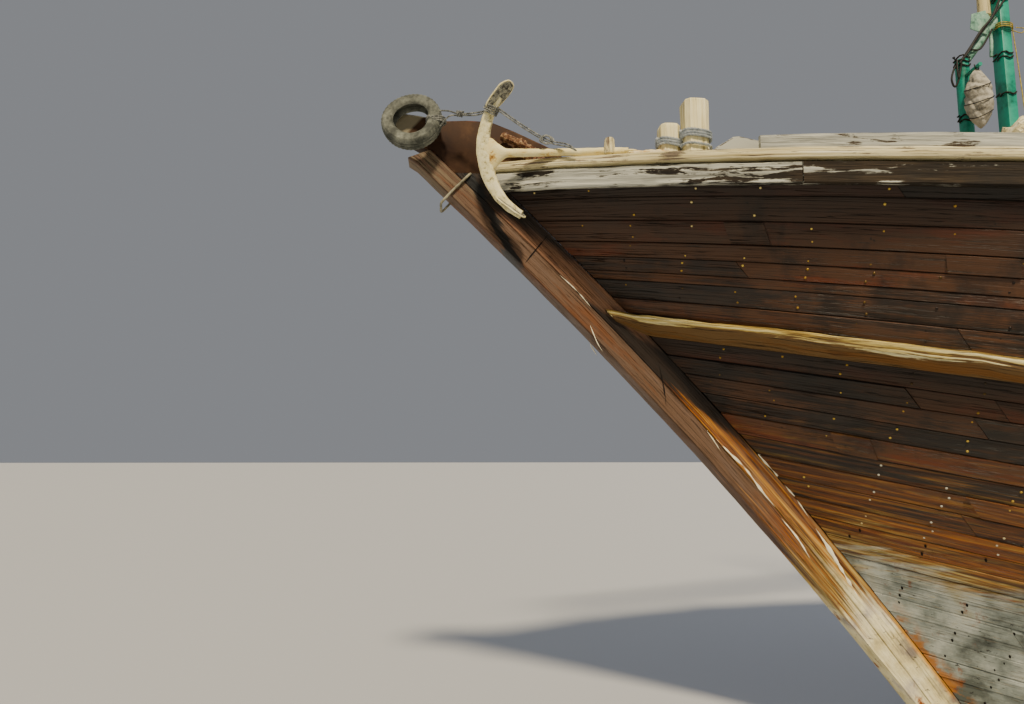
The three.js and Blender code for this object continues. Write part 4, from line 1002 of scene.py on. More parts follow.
# %% Rails
def flaking(swatches, share, seed, lean=0.0):
    """Paint in flakes over the wood: share is how much of it is left, and lean how much more is left where
    girth is 1."""
    def end(tree, colour, rough, height, maps):
        stretched = add(tree, "ShaderNodeMapping", {"Vector": maps["uv"], "Scale": (2.6, 17.0, 1),
                                                    "Location": (seed, seed, 0)})
        patch = add(tree, "ShaderNodeTexNoise", {"Vector": stretched.outputs[0], "Scale": 1.0, "Detail": 9,
                                                 "Roughness": 0.68, "Distortion": 0.5}).outputs["Fac"]
        summed = add(tree, "ShaderNodeMath", {0: maps["blot"], 1: 0.55, 2: patch},
                     operation="MULTIPLY_ADD").outputs[0]
        summed = add(tree, "ShaderNodeMath", {0: maps["girth"], 1: lean, 2: summed},
                     operation="MULTIPLY_ADD").outputs[0]
        edge = 0.78 + 0.27 * (0.5 - share) + 0.5 * lean
        mask = add(tree, "ShaderNodeMapRange", {"Value": summed, "From Min": edge - 0.012,
                                                "From Max": edge + 0.02}).outputs[0]
        dirt = add(tree, "ShaderNodeMath", {0: maps["pore"], 1: 0.5, 2: maps["band"]},
                   operation="MULTIPLY_ADD").outputs[0]
        paint = add(tree, "ShaderNodeValToRGB", {0: dirt},
                    stops=list(zip((0.5, 0.66, 0.84, 1.0), swatches))).outputs[0]
        colour, rough = veil(tree, mask, colour, rough, paint, 0.7)
        thick = add(tree, "ShaderNodeMath", {0: mask, 1: 0.5, 2: height}, operation="MULTIPLY_ADD").outputs[0]
        return colour, rough, thick

    return end


GREY_WOOD = ("#17120e", "#2b241d", "#4a4036", "#6b5f4f", "#8c7d68")
CREAM = timber("weathered cream paint", GREY_WOOD, 0.72, splits=0.8, stains=0.4, gloss=0.25, bump=0.006,
               end=flaking(("#94855a", "#d0c190", "#e9dfb2", "#f4edd2"), 0.80, 0.0))
WHITE = timber("peeling white paint", ("#060504", "#0c0a08", "#171310", "#282119", "#43382a"), 0.75,
               splits=0.7, stains=0.4, gloss=0.25, bump=0.008,
               end=flaking(("#73736a", "#9d9e94", "#c2c3b6", "#dad8c6"), 0.44, 4.0, 0.20))
RAIL_THICK, RAIL_OUT, RAIL_IN, BULWARK = 0.095, 0.085, 0.18, 0.12
STRAKE_OUT, STRAKE_DEEP = 0.055, 0.215


def inner_y(y):
    return max(y - BULWARK * 1.25, HEAD_SIDING / 2 + 0.0012)


def bar_along(bm, side, low, high, steps, corners, ragged=0.004, size=0.6, tone=0.5, girth=1.0):
    """A bar along the rail: corners(s, at) are its corners as (y, z) at the hull's edge point there."""
    count = len(corners(low, hull(low, 1)))

    def place(a, b):
        s = mix(low, high, a)
        at = hull(s, 1)
        y, z = corners(s, at)[round(b * count) % count]
        spot = Vector((at.x, y, z))
        rough = rough_by(spot + Vector((0, 7 * side, 0)), ragged, 2.7) + rough_by(spot, ragged * 0.6, 11.0)
        return Vector((spot.x, side * (spot.y + rough.y), spot.z + rough.z))

    loft(bm, steps, count, place, ((high - low) * 11.5, size), tone, girth, shift=low * 9)


def cap_corners(s, at):
    inside = max(inner_y(at.y) - RAIL_IN, HEAD_SIDING / 2 + 0.004)
    low, high, outer = at.z + 0.004, at.z + 0.0012 + RAIL_THICK, at.y + RAIL_OUT
    return [(outer - 0.008, low), (outer, low + 0.012), (outer - 0.002, mix(low, high, 0.55)),
            (outer - 0.012, high - 0.008), (outer - 0.03, high), (mix(inside, outer, 0.6), high + 0.002),
            (mix(inside, outer, 0.3), high), (inside + 0.02, high - 0.003), (inside, high - 0.02),
            (inside, low + 0.01), (inside + 0.01, low)]


def strake_corners(s, at):
    outer, low = at.y + STRAKE_OUT, at.z - STRAKE_DEEP
    return [(at.y - 0.012, low + 0.01), (outer - 0.016, low), (outer, low + 0.016),
            (outer + 0.001, mix(low, at.z, 0.5)), (outer, at.z - 0.034), (outer - 0.022, at.z - 0.016),
            (at.y - 0.012, at.z + 0.002)]


def cap_rail(bm, side):
    ends = [-1.0, -0.62, -0.2, 0.24, 0.62, 1.0]
    for k, (low, high) in enumerate(zip(ends, ends[1:])):
        bar_along(bm, side, low + 0.0003, high - 0.0003, 44, cap_corners, 0.005, 0.9, 0.4 + 0.1 * (k % 3))


def rail_strake(bm, side):
    ends = [-1.0, -0.5, -0.04, 0.44, 0.81, 1.0]
    for k, (low, high) in enumerate(zip(ends, ends[1:])):
        bar_along(bm, side, low + 0.0003, high - 0.0003, 44, strake_corners, 0.007, 0.6,
                  0.06 + 0.08 * (k % 2), girth=lambda a, b: min(max((mix(low, high, a) - 0.80) / 0.09,
                0.0), 1.0))


def washboard(bm, side):
    def corners(s, at):
        low, high, outer = at.z + RAIL_THICK - 0.005, at.z + RAIL_THICK + 0.115, at.y + RAIL_OUT - 0.025
        return [(outer, low), (outer, mix(low, high, 0.5)), (outer, high - 0.006), (outer - 0.006, high),
                (outer - 0.039, high), (outer - 0.045, high - 0.006), (outer - 0.045, low)]

    for low, high in ((0.304, 0.56), (0.56, 0.832)):
        bar_along(bm, side, low + 0.0004, high - 0.0004, 40, corners, 0.004, 0.35, 1.0)


port_and_starboard(cap_rail, "cap_rail_top", CREAM, "rail_paint", ["cap_rail"])
port_and_starboard(rail_strake, "cap_rail_strake", WHITE, "rail_paint", ["cap_rail"])
port_and_starboard(washboard, "cap_rail_washboard", WHITE, "rail_paint", ["cap_rail"])

# %% [markdown]
# The wale is a half-round baulk spiked along the outside to take the knocks of other hulls. It is bare
# wood, split along its length, and broken away in places where something caught it. Its top is paler
# yellow-brown, part real bleaching and part painted light where the top face meets the light.

# %% Wales
def wale_weather_and_top_light(tree, colour, rough, height, maps):
    """Pale top, part bleaching, part painted light; the underside stays brown, with a ragged line between."""
    worn = both(tree, streaks(tree, maps, (0.7, 6.0, 1.0), 0.50, 0.57, 3.0, "uv"),
                between(tree, maps["girth"], 0.5, 0.25))
    colour, rough = veil(tree, both(tree, worn, 0.55), colour, rough, "#7a4a12", 0.5)
    lean = add(tree, "ShaderNodeMath", {0: maps["band"], 1: 1.3, 2: maps["girth"]},
               operation="MULTIPLY_ADD").outputs[0]
    lean = add(tree, "ShaderNodeMath", {0: maps["blot"], 1: 0.8, 2: lean},
               operation="MULTIPLY_ADD").outputs[0]
    # Painted light: the top of the wale is made paler where it faces the light, together with its real
    # bleaching.
    bleached = add(tree, "ShaderNodeValToRGB", {0: maps["band"]},
                   stops=[(0.36, "#6d5526"), (0.45, "#ac9248"), (0.54, "#d9c67c"),
                          (0.66, "#f0e7b6")]).outputs[0]
    broken = streaks(tree, maps, (1.6, 24.0, 1.0), 0.40, 0.47, 13.0, "uv")
    top = both(tree, both(tree, between(tree, lean, 1.62, 1.68), between(tree, maps["pore"], 0.34, 0.42)),
               broken)
    colour, rough = veil(tree, top, colour, rough, bleached, 0.68)
    return colour, rough, height


WALE = timber("bleached wale timber", ("#070402", "#150d07", "#291b0e", "#44301a", "#6d5330"), 0.6, pores=0.6,
              splits=1.0, stains=0.6, gloss=0.2, bump=0.025, end=wale_weather_and_top_light)
WALE_SHAPE = [(0.0, -0.01), (0.02, 0.05), (0.16, 0.085), (0.38, 0.104), (0.62, 0.108), (0.84, 0.092),
              (0.97, 0.06), (1.0, -0.01)]


def wale(bm, side):
    def place(a, b):
        share, out = WALE_SHAPE[round(b * len(WALE_SHAPE)) % len(WALE_SHAPE)]
        s = mix(-0.995, 1.0, min(a / 0.985, 1.0))
        past = max(0.0, a - 0.985) / 0.015
        tip = 1 - past ** 2 * 0.45
        middle = mix(*WALE_V, 0.5)
        at = hull(s, mix(middle, mix(*WALE_V, share), tip))
        spot = at + Vector((past * 0.30, out * mix(1.0, 0.45, past), past * 0.10))
        rough = rough_by(spot + Vector((0, 9 * side, 0)), 0.012 + 0.02 * (1 - share) ** 3,
                         2.3) + rough_by(spot, 0.008, 8.0)
        inside = out < 0
        return Vector((spot.x, side * (spot.y + (0 if inside else rough.y)),
                       spot.z + (0 if inside else rough.z)))

    loft(bm, 240, len(WALE_SHAPE), place, (22.0, 0.35), 0.5,
         girth=lambda a, b: WALE_SHAPE[round(b * len(WALE_SHAPE)) % len(WALE_SHAPE)][0])


port_and_starboard(wale, "wale", WALE, "wale_wood", ["wale"])

# %% [markdown]
# Rope is laid from three strands, so it is modelled as three thin bars winding round one another, and its
# colour varies along it by noise on its UV map. Weathered nylon and hemp both go grey; tarred line stays
# nearly black.

# %% Rope, rubber and painted iron
def simple(name, stops, scale, rough, bump=0.0, detail=6, metal=0.0, stretch=(1, 1, 1), gloss=0.4):
    """One noise drives colour, roughness and relief, for finishes with no grain."""
    made, tree, shader = new_material(name)
    where = add(tree, "ShaderNodeTexCoord").outputs["Object"]
    where = add(tree, "ShaderNodeMapping", {"Vector": where, "Scale": stretch}).outputs[0]
    patch = add(tree, "ShaderNodeTexNoise", {"Vector": where, "Scale": scale, "Detail": detail,
                                             "Roughness": 0.62})
    fine = add(tree, "ShaderNodeTexNoise", {"Vector": where, "Scale": scale * 6, "Detail": 4,
                                            "Roughness": 0.7})
    level = add(tree, "ShaderNodeMath", {0: fine.outputs["Fac"], 1: 0.35, 2: patch.outputs["Fac"]},
                operation="MULTIPLY_ADD").outputs[0]
    colour = add(tree, "ShaderNodeValToRGB", {0: level}, stops=stops).outputs[0]
    shine = add(tree, "ShaderNodeMapRange", {"Value": level, "From Min": 0.5, "From Max": 0.85,
                                             "To Min": rough - 0.1, "To Max": rough + 0.1}).outputs[0]
    relief = add(tree, "ShaderNodeBump", {"Height": level, "Distance": bump}).outputs[0]
    tree.links.new(colour, shader.inputs["Base Color"])
    tree.links.new(shine, shader.inputs["Roughness"])
    tree.links.new(relief, shader.inputs["Normal"])
    shader.inputs["Metallic"].default_value = metal
    shader.inputs["Specular IOR Level"].default_value = gloss
    return made


GREY_ROPE = simple("grey laid rope", [(0.5, "#3c3d3b"), (0.68, "#777a76"), (0.85, "#a9aaa2")], 30, 0.85,
                   0.001)
BLUE_ROPE = simple("blue-grey mooring rope", [(0.42, "#56606a"), (0.56, "#8a949c"), (0.7, "#b4bcc0")], 30,
                   0.8, 0.001)
DARK_LINE = simple("tarred line", [(0.5, "#0b0b0b"), (0.7, "#1d1c1a"), (0.9, "#35322d")], 30, 0.7, 0.001)
YELLOW_LINE = simple("yellow cord", [(0.5, "#7a6a1f"), (0.7, "#b7a238"), (0.9, "#d6c55c")], 30, 0.7, 0.0005)
RUBBER = simple("dusty tyre rubber", [(0.42, "#2a2c29"), (0.58, "#4b4e47"), (0.72, "#71746a"),
                                      (0.88, "#979a8a")], 5.0, 0.85, 0.002, gloss=0.25)
CREAM_IRON = simple("cream paint over pitted iron",
                    [(0.46, "#574b30"), (0.53, "#a89d6c"), (0.60, "#dcd29d"), (0.74, "#f0e8ba"),
                     (0.88, "#f5efd0")], 20.0, 0.72, 0.004, 9, 0.1)
PALM_IRON = simple("bare pitted palm", [(0.46, "#2b2a28"), (0.58, "#55544f"), (0.68, "#85867c"),
                                        (0.8, "#b5b49f")], 26.0, 0.75, 0.004, 9, 0.2)
RUSTY_CREAM = simple("rust over cream paint", [(0.44, "#7d5422"), (0.51, "#c09a4c"), (0.58, "#e5d492"),
                                               (0.78, "#f0e6b4")], 9.0, 0.78, 0.004, 9, 0.1, (0.5, 1, 1))
ROTTEN = simple("rotten foam and rust", [(0.42, "#1a100a"), (0.58, "#432718"), (0.7, "#6d4a30"),
                                         (0.85, "#b39a76")], 26.0, 0.9, 0.01, 9)

# %% [markdown]
# The tyre on the stem head is a fender. A lathe section with two hooked beads is swept round its axis, open
# inside as a real casing is, and the tread's shoulder is cut into lugs by pulling every other ring of
# points inwards.

# %% Tyre
TYRE = (Matrix.Translation((12.95, 0.2879, 6.27)) @ Matrix.Rotation(math.radians(-10), 4, "Z")
        @ Matrix.Rotation(math.radians(15), 4, "X"))
CASING = [(0.180, -0.060), (0.192, -0.075), (0.215, -0.087), (0.245, -0.0885), (0.275, -0.086),
          (0.292, -0.074), (0.304, -0.056), (0.306, -0.036), (0.301, -0.033), (0.301, -0.027),
          (0.310, -0.024), (0.311, -0.004), (0.305, -0.003), (0.305, 0.003), (0.311, 0.004),
          (0.310, 0.024), (0.301, 0.027), (0.301, 0.033), (0.306, 0.036), (0.304, 0.056), (0.292, 0.074),
          (0.275, 0.086), (0.245, 0.0885), (0.215, 0.087), (0.192, 0.075), (0.180, 0.060), (0.186, 0.050),
          (0.205, 0.046), (0.255, 0.055), (0.278, 0.038), (0.285, 0.0), (0.278, -0.038), (0.255, -0.055),
          (0.205, -0.046), (0.186, -0.050)]
LUGS = 44


def tyre_point(a, b):
    radius, across = CASING[round(b * len(CASING)) % len(CASING)]
    angle = 2 * math.pi * a
    lug = round(a * LUGS * 4) % 4 < 2
    if radius > 0.29 and abs(across) > 0.02 and not lug:
        radius -= 0.004
    sag = 0.004 * math.sin(3 * angle + 1)
    return TYRE @ Vector(((radius + sag) * math.cos(angle), across, (radius + sag) * math.sin(angle)))


bm = bmesh.new()
loft(bm, LUGS * 4, len(CASING), tyre_point, (1.8, 0.6))
finish(bm, "tyre_fender", RUBBER, "tyre_rubber", ["tyre_fender"], smooth=28)

# %% [markdown]
# The anchor hangs from its crown over the rail, one arm up and one down, its shank lying aft on the rail.
# The arms are one crescent, thickest at the crown, and end in palms; the shank swells like a trumpet where
# it joins them. Its cream paint has been laid over pits, and along the shank the rust has won.

# %% Anchor
ANCHOR = (Matrix.Translation((12.30, 0.45, 5.8931)) @ Matrix.Rotation(math.radians(-20), 4, "Z")
          @ Matrix.Rotation(math.radians(-5), 4, "Y") @ Matrix.Rotation(math.radians(-13), 4, "X"))
ARMS = ANCHOR @ Matrix.Rotation(math.radians(5), 4, "Y")
ARM, HALF_ANGLE, SHANK = 0.77, math.radians(61), 1.5


def arm_point(a, b):
    angle = mix(-HALF_ANGLE, math.radians(46), a)
    thick = mix(0.165, 0.085, abs(2 * a - 1) ** 0.9)
    wide = mix(0.036, 0.026, abs(2 * a - 1))
    turn = 2 * math.pi * b
    shape = Vector((math.cos(turn), math.sin(turn)))
    shape = Vector([math.copysign(abs(x) ** 0.55, x) for x in shape])
    radius = ARM - thick / 2 + shape.x * thick / 2
    at = ARMS @ Vector((radius * math.cos(angle) - ARM, shape.y * wide, radius * math.sin(angle)))
    return at + rough_by(at, 0.005, 14)


bm = bmesh.new()
loft(bm, 70, 14, arm_point, (1.64, 0.25))
finish(bm, "anchor_arms", CREAM_IRON, "anchor_paint", ["anchor"])
bm = bmesh.new()
palm_edges = bmesh.new()
for way in (1, -1):
    angle = way * (HALF_ANGLE - math.radians(10 if way < 0 else 14))
    twist = Matrix.Rotation(math.radians(-4 if way < 0 else -30), 4, "Z")
    spot = Vector((ARM * math.cos(angle) - ARM - 0.01, 0, ARM * math.sin(angle)))
    palm = ARMS @ Matrix.Translation(spot) @ Matrix.Rotation(-angle, 4, "Y") @ twist
    outline = [(-0.06, -0.16), (0.05, -0.16), (0.08, 0.03), (0.07, 0.10), (0.02, 0.155), (-0.06, 0.14),
               (-0.085, 0.03)]
    outline = [(y, z * way) for y, z in outline]
    plate(bm, outline, -0.06, -0.035, 0.006, (0, 0, 1), palm, flat="x")
    tube(palm_edges, [palm @ Vector((-0.047, y, z)) for y, z in outline], 0.008, 8, 60, closed=True)
finish(bm, "anchor_palms", PALM_IRON, "anchor_paint", ["anchor"])
finish(palm_edges, "anchor_palm_edges", CREAM_IRON, "anchor_paint", ["anchor"])
bm = bmesh.new()


def shank_point(a, b):
    """The shank flares like a trumpet where it meets the crown."""
    turn = 2 * math.pi * b
    along_shank = mix(0.05, SHANK, a ** 1.7)
    flare = max(0.0, 1 - max(along_shank - 0.15, 0) / 0.17) ** 1.4
    tall = mix(0.044, 0.034, a) + flare * (0.11 if math.sin(turn) > 0 else 0.16)
    at = ANCHOR @ Vector((-along_shank, math.cos(turn) * 0.034, math.sin(turn) * tall))
    return at + rough_by(at, 0.006, 17)


loft(bm, 60, 14, shank_point, (SHANK, 0.25))
ring(bm, ANCHOR @ Vector((-SHANK - 0.02, 0, 0)), (0, 0.2, 1), 0.055, 0.02)
finish(bm, "anchor_shank", RUSTY_CREAM, "anchor_paint", ["anchor"])

# %% [markdown]
# Lashings hold tyre and anchor: turns round the casing, two strands to a knot, turns round the upper arm,
# then a doubled line with a loose loop knot down to the rail. They are set up tight between fixed points.

# %% Lashings at the stem head
def around(bm, centre, axis, radius, thick, turns, wobble=0.0):
    axis = Vector(axis).normalized()
    one = axis.orthogonal().normalized()
    other = axis.cross(one)
    count = 14 * turns
    points = []
    for k in range(count + 1):
        t = 2 * math.pi * k / 14
        wide = radius * (1 + wobble * math.sin(k * 1.7))
        points.append(Vector(centre) + (one * math.cos(t) + other * math.sin(t)) * wide + axis * thick *
                      1.02 * turns * (k / count - 0.5))
    rope(bm, points, thick)


bm = bmesh.new()
casing_side = TYRE @ Vector((-0.245, 0, 0.0))
around(bm, casing_side, (0.05, 0, 1), 0.094, 0.02, 3, 0.03)
knot = Vector((12.47, 0.42, 6.315))
LASHED = math.radians(35)
arm_way = ARMS.to_3x3() @ Vector((-math.sin(LASHED), 0, math.cos(LASHED)))
upper_arm = ARMS @ Vector(((ARM - 0.05) * math.cos(LASHED) - ARM, 0, (ARM - 0.05) * math.sin(LASHED)))
rope(bm, [casing_side + Vector((-0.04, 0.05, 0.09)), (12.58, 0.42, 6.34), knot, (12.30, 0.5, 6.30),
          upper_arm], 0.018)
rope(bm, [casing_side + Vector((-0.04, 0.06, -0.08)), (12.58, 0.43, 6.28), knot + Vector((0, 0.01, -0.02)),
          (12.3, 0.51, 6.27), upper_arm], 0.018)
around(bm, knot, (1, 0, 0.1), 0.024, 0.02, 3, 0.1)
around(bm, upper_arm, arm_way, 0.068, 0.021, 4, 0.04)
loop = Vector((11.63, 0.74, 5.93))
for lift in (-0.012, 0.012):
    rope(bm, [upper_arm + Vector((-0.05, 0.02, lift)), (11.86, 0.66, 6.10 + lift),
              loop + Vector((0, 0, lift)), (11.46, 0.86, 5.84 + lift), (11.38, 0.90, 5.775)], 0.016)
for turn in (0, 1):
    centre = loop + Vector((0.02 * turn, 0, 0.01))
    tube(bm, [centre + Vector((0.055 * math.cos(t + turn), 0.01 * math.sin(2 * t), 0.04 * math.sin(t + turn)))
              for t in (2 * math.pi * k / 8 for k in range(8))], 0.0085, 8, 40, closed=True)
finish(bm, "head_lashings", GREY_ROPE, "rope")
bm = bmesh.new()
for side in (1, -1):
    route = [(12.35, 0.135, 5.80), (12.37, 0.165, 5.775), (12.45, 0.172, 5.69), (12.55, 0.173, 5.585),
             (12.625, 0.168, 5.50), (12.65, 0.13, 5.475), (12.65, 0.0, 5.475)]
    tube(bm, [(x, side * y, z) for x, y, z in route], 0.013, 8, 60)
finish(bm, "false_stem_collar", simple("weathered grey rod",
                                       [(0.5, "#5a5748"), (0.7, "#8f8b74"), (0.9, "#b0ab90")], 20, 0.7,
                                       0.001), "steel")

# %% [markdown]
# The mooring bitts are timber heads that rise through the rail, their corners planed off and their tops
# rounded by rope. A few turns of grey rope stay on each.

# %% Bow bitts
BITT_CREAM = timber("thick cream paint", GREY_WOOD, 0.7, splits=0.3, stains=0.3, gloss=0.25, bump=0.004,
                    end=flaking(("#a89a6a", "#e2d6a2", "#f4ebbf", "#fbf5da"), 1.35, 2.0))
BITTS = {"tall": (10.33, 1.195, 0.23, 6.16, 5.82), "short": (10.545, 1.095, 0.185, 5.965, 5.78)}
for size, (x, y, wide, top, turns_at) in BITTS.items():
    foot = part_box(f"bow_bitt_{size}_port")[0].z

    def bitt(bm, side, x=x, y=y, wide=wide, top=top, foot=foot):
        corners = 16

        def place(a, b):
            turn = 2 * math.pi * (b + 1 / 32)
            square = max(abs(math.cos(turn)), abs(math.sin(turn)))
            reach = wide / 2 * min(1 / square, 1.17)
            height = mix(foot - 0.02, top, min(a / 0.9, 1.0))
            crown = max(0.0, a - 0.9) / 0.1
            reach *= (1 - 0.06 * (1 - min(a / 0.9, 1))) * math.sqrt(max(1 - crown ** 2 * 0.75, 0))
            at = Vector((x + reach * math.cos(turn), y + reach * math.sin(turn),
                         height - 0.02 + 0.02 * math.sin(crown * math.pi / 2)))
            rough = rough_by(at, 0.005, 8)
            return Vector((at.x + rough.x, side * (at.y + rough.y), min(at.z, top)))

        loft(bm, 20, corners, place, (top - foot, wide * 4), 0.6)

    port_and_starboard(bitt, f"bow_bitt_{size}", BITT_CREAM, "rail_paint", [f"bow_bitt_{size}"])

    def turns(bm, side, x=x, y=y, wide=wide, turns_at=turns_at):
        for lift, count in ((turns_at, 3), (turns_at - 0.105, 1)):
            points = []
            for k in range(16 * count + 1):
                t = 2 * math.pi * k / 16
                reach = wide / 2 * min(1 / max(abs(math.cos(t)), abs(math.sin(t))), 1.17) + 0.016
                points.append((x + reach * math.cos(t), side * (y + reach * math.sin(t)),
                               lift + 0.026 * count * (k / (16 * count) - 0.5) + 0.022 * math.cos(t)))
            rope(bm, points, 0.027)

    port_and_starboard(turns, f"bitt_rope_{size}", BLUE_ROPE, "rope")

# %% Chocks and lumps on the rail
def rail_z(x):
    return hull(station(x, 1.0), 1).z + 0.0012 + RAIL_THICK


def chock(bm, side):
    outline = [(9.775, rail_z(9.775) - 0.03), (10.268, rail_z(10.268) - 0.03), (10.262, rail_z(10.26) + 0.02),
               (10.10, rail_z(10.1) + 0.15), (10.05, rail_z(10.05) + 0.163), (9.88, rail_z(9.88) + 0.158),
               (9.81, rail_z(9.81) + 0.135), (9.777, rail_z(9.777) + 0.09), (9.79, rail_z(9.79) + 0.06)]
    low, high = sorted((side * 1.427, side * 1.553))
    plate(bm, outline, low, high, 0.012, (1, 0, 0.1), tone=0.7)


port_and_starboard(chock, "rail_chock", WHITE, "rail_paint", ["cap_rail"])


def lumpy(points, radius, seed, rough=0.3, sides=14, steps=40):
    line, length = path(points, steps)

    def place(a, b):
        at, one, other = line[round(a * steps)]
        turn = 2 * math.pi * b
        way = one * math.cos(turn) + other * math.sin(turn)
        ends = math.sqrt(max(0.0, 1 - abs(2 * a - 1) ** 8))
        swell = 1 + rough * noise.noise((at + way * radius) * 9 + Vector((seed, 0,
                0))) + rough * 0.5 * noise.noise((at + way * radius) * 31)
        return at + way * radius * swell * max(ends, 0.02)

    return lambda bm: loft(bm, steps, sides, place, (length, radius * 6))


bm = bmesh.new()
lumpy([(10.90, 1.03, rail_z(10.9) + 0.02), (10.78, 1.08, rail_z(10.78) + 0.03),
       (10.66, 1.16, rail_z(10.66) + 0.03), (10.52, 1.24, rail_z(10.52) + 0.012)], 0.045, 2.0)(bm)
finish(bm, "rail_lumps", simple("yellowed foam",
                                [(0.4, "#8a5a2a"), (0.55, "#c79a55"), (0.68, "#dcc48c"),
                                 (0.85, "#e5dcc0")], 12.0, 0.85, 0.008, 9), "rail_paint")
bm = bmesh.new()
lumpy([(11.07, 0.93, rail_z(11.1) + lift) for lift in (0.02, 0.12, 0.20)], 0.052, 5.0, 0.2, 10, 12)(bm)
finish(bm, "rail_knob", CREAM, "rail_paint")
bm = bmesh.new()
for side in (1, -1):
    for seed, share, wide in ((3.0, 0.3, 0.13), (5.0, 1.0, 0.12)):
        matting = [(x, side * (hull(station(x, 1), 1).y - 0.15), rail_z(x) + 0.02 + lift * share) for x,
                   lift in ((8.34, 0.0), (8.12, 0.15), (7.9, 0.25), (7.6, 0.27), (7.3, 0.2), (7.1, 0.02))]
        lumpy(matting, wide, seed + side, 0.5, 18, 70)(bm)
finish(bm, "rail_matting", CREAM, "rail_paint")
bm = bmesh.new()
hoop = Vector((9.13, 1.745, rail_z(9.13)))
tube(bm, [hoop + Vector((0.17 * math.cos(t), 0.02 * math.sin(t),
                         0.17 * math.sin(t))) for t in (math.pi * k / 6 for k in range(12))], 0.012, 8, 60,
     closed=True)
finish(bm, "rail_hoop", simple("teal enamel", [(0.4, "#0c5a4c"), (0.8, "#3aa993")], 6.0, 0.4, 0.001),
       "teal_paint")
bm = bmesh.new()
lumpy([(12.05, 0.20, 6.20), (11.93, 0.22, 6.14), (11.80, 0.25, 6.06), (11.66, 0.28, 5.97)], 0.048, 8.0,
      0.8)(bm)
lumpy([(11.90, 0.20, 6.04), (11.76, 0.24, 5.96), (11.6, 0.30, 5.88)], 0.05, 12.0, 0.7)(bm)
finish(bm, "rotten_lumps", ROTTEN, "rail_paint")

# %% [markdown]
# The deck is laid fore and aft in narrow planks with a slight crown, so that water runs to the sides. Each
# plank is cut off where it meets the curved margin plank, and black seams show between them.

# %% Deck
DECK_TEAK = timber("scrubbed deck teak", ("#1e1610", "#3d2f22", "#66523b", "#8d7553", "#b09a74"), 0.75,
                   splits=0.6, stains=0.6, gloss=0.25, bump=0.003)
DECK_WIDTH, DECK_CROWN, MARGIN = 0.15, 0.04, 0.20
edge_rows = [(hull(s, DECK_V), s) for s in heights(-0.985, 0.985, 160)]


def deck_half(x):
    s = station(x, DECK_V)
    return inner_y(hull(s, DECK_V).y) - 0.006


def deck_z(x, y=0.0):
    at = hull(station(x, DECK_V), DECK_V)
    return at.z + 0.0504 + DECK_CROWN * (1 - (y / max(deck_half(x), 0.3)) ** 2)


bm = bmesh.new()
half_lanes = int(3.4 / DECK_WIDTH) + 1
deck_ends = [at.x for at, s in edge_rows if inner_y(at.y) > 0.166]
for lane in range(-half_lanes, half_lanes):
    low, high = lane * DECK_WIDTH + 0.003, (lane + 1) * DECK_WIDTH - 0.003
    reach = max(abs(low), abs(high)) + MARGIN * 0.9
    inside = [at.x for at, s in edge_rows if inner_y(at.y) > reach + 0.006]
    if len(inside) < 4:
        continue
    cuts = [min(inside)]
    while cuts[-1] < max(inside) - 5.4:
        cuts.append(cuts[-1] + choose.uniform(3.2, 5.2))
    for aft, fore in zip(cuts, cuts[1:] + [max(inside)]):
        shape = [(low + 0.002, 0.0), (low + 0.005, 0.003), (high - 0.005, 0.003), (high - 0.002, 0.0),
                 (high, -0.045), (low, -0.045)]

        def place(a, b):
            y, lift = shape[round(b * 6) % 6]
            x = mix(aft + 0.002, fore - 0.002, a)
            return Vector((x, y, deck_z(x, y) + lift))

        loft(bm, max(2, round((fore - aft) * 1.6)), 6, place, (fore - aft, 0.4), choose.random(),
             shift=choose.uniform(0, 30))
for side in (1, -1):
    shape = [(0.0, 0.006), (-0.01, 0.010), (-MARGIN + 0.01, 0.010), (-MARGIN, 0.004), (-MARGIN, -0.05),
             (0.0, -0.05)]

    def place(a, b):
        out, lift = shape[round(b * 6) % 6]
        x = mix(min(deck_ends) - 0.02, max(deck_ends) + 0.02, a)
        y = max(deck_half(x) + out, 0.0)
        return Vector((x, side * y, deck_z(x, y) + lift))

    loft(bm, 160, 6, place, (20, 0.5), 0.2)
finish(bm, "deck_planks", DECK_TEAK, "deck_wood", ["deck"])

# %% Stanchions inside the bulwark
INSIDE_PAINT = timber("bulwark lining", ("#15100c", "#2c2118", "#4a392a", "#6b543d", "#8d7556"), 0.7,
                      splits=0.7, stains=0.7, gloss=0.25, bump=0.004,
                      end=flaking(("#5f7f78", "#7fa39a", "#9bbcb2", "#b8cfc6"), 0.55, 2.0))


def stanchions(bm, side):
    for k in range(23):
        middle = -0.83 + 0.075 * k
        shape = [(-0.0055, -0.135), (-0.0055, -0.235), (0.0, -0.24), (0.0055, -0.235), (0.0055, -0.135)]

        def place(a, b):
            along_s, out = shape[round(b * 5) % 5]
            at = skin(middle + along_s, mix(DECK_V - 0.002, 0.999, a), 0, 1)
            return Vector((at.x, side * max(at.y + out - 0.004, 0.02), at.z + 0.02 * (1 - a)))

        loft(bm, 4, 5, place, (1.0, 0.4), choose.random(), shift=k)


def lining(bm, side):
    for k in range(5):
        low, high = mix(DECK_V, 0.998, k / 5) + 0.0008, mix(DECK_V, 0.998, (k + 1) / 5) - 0.0008
        for aft, fore in ((-0.985, -0.55), (-0.55, -0.1), (-0.1, 0.38), (0.38, 0.80), (0.80, 0.975)):
            def place(a, b):
                share, out = ((0, -0.140), (0, -0.156), (1, -0.156), (1, -0.140))[round(b * 4) % 4]
                at = skin(mix(aft + 0.0003, fore - 0.0003, a), mix(low, high, share), out, 1)
                return Vector((at.x, side * max(at.y, 0.04 + out * 0.1), at.z))

            loft(bm, 24, 4, place, ((fore - aft) * 11.5, 0.4), choose.random(), shift=k + aft * 9)


port_and_starboard(stanchions, "bulwark_stanchions", INSIDE_PAINT, "teak", ["bulwark"])
port_and_starboard(lining, "bulwark_lining", INSIDE_PAINT, "teak", ["bulwark"])
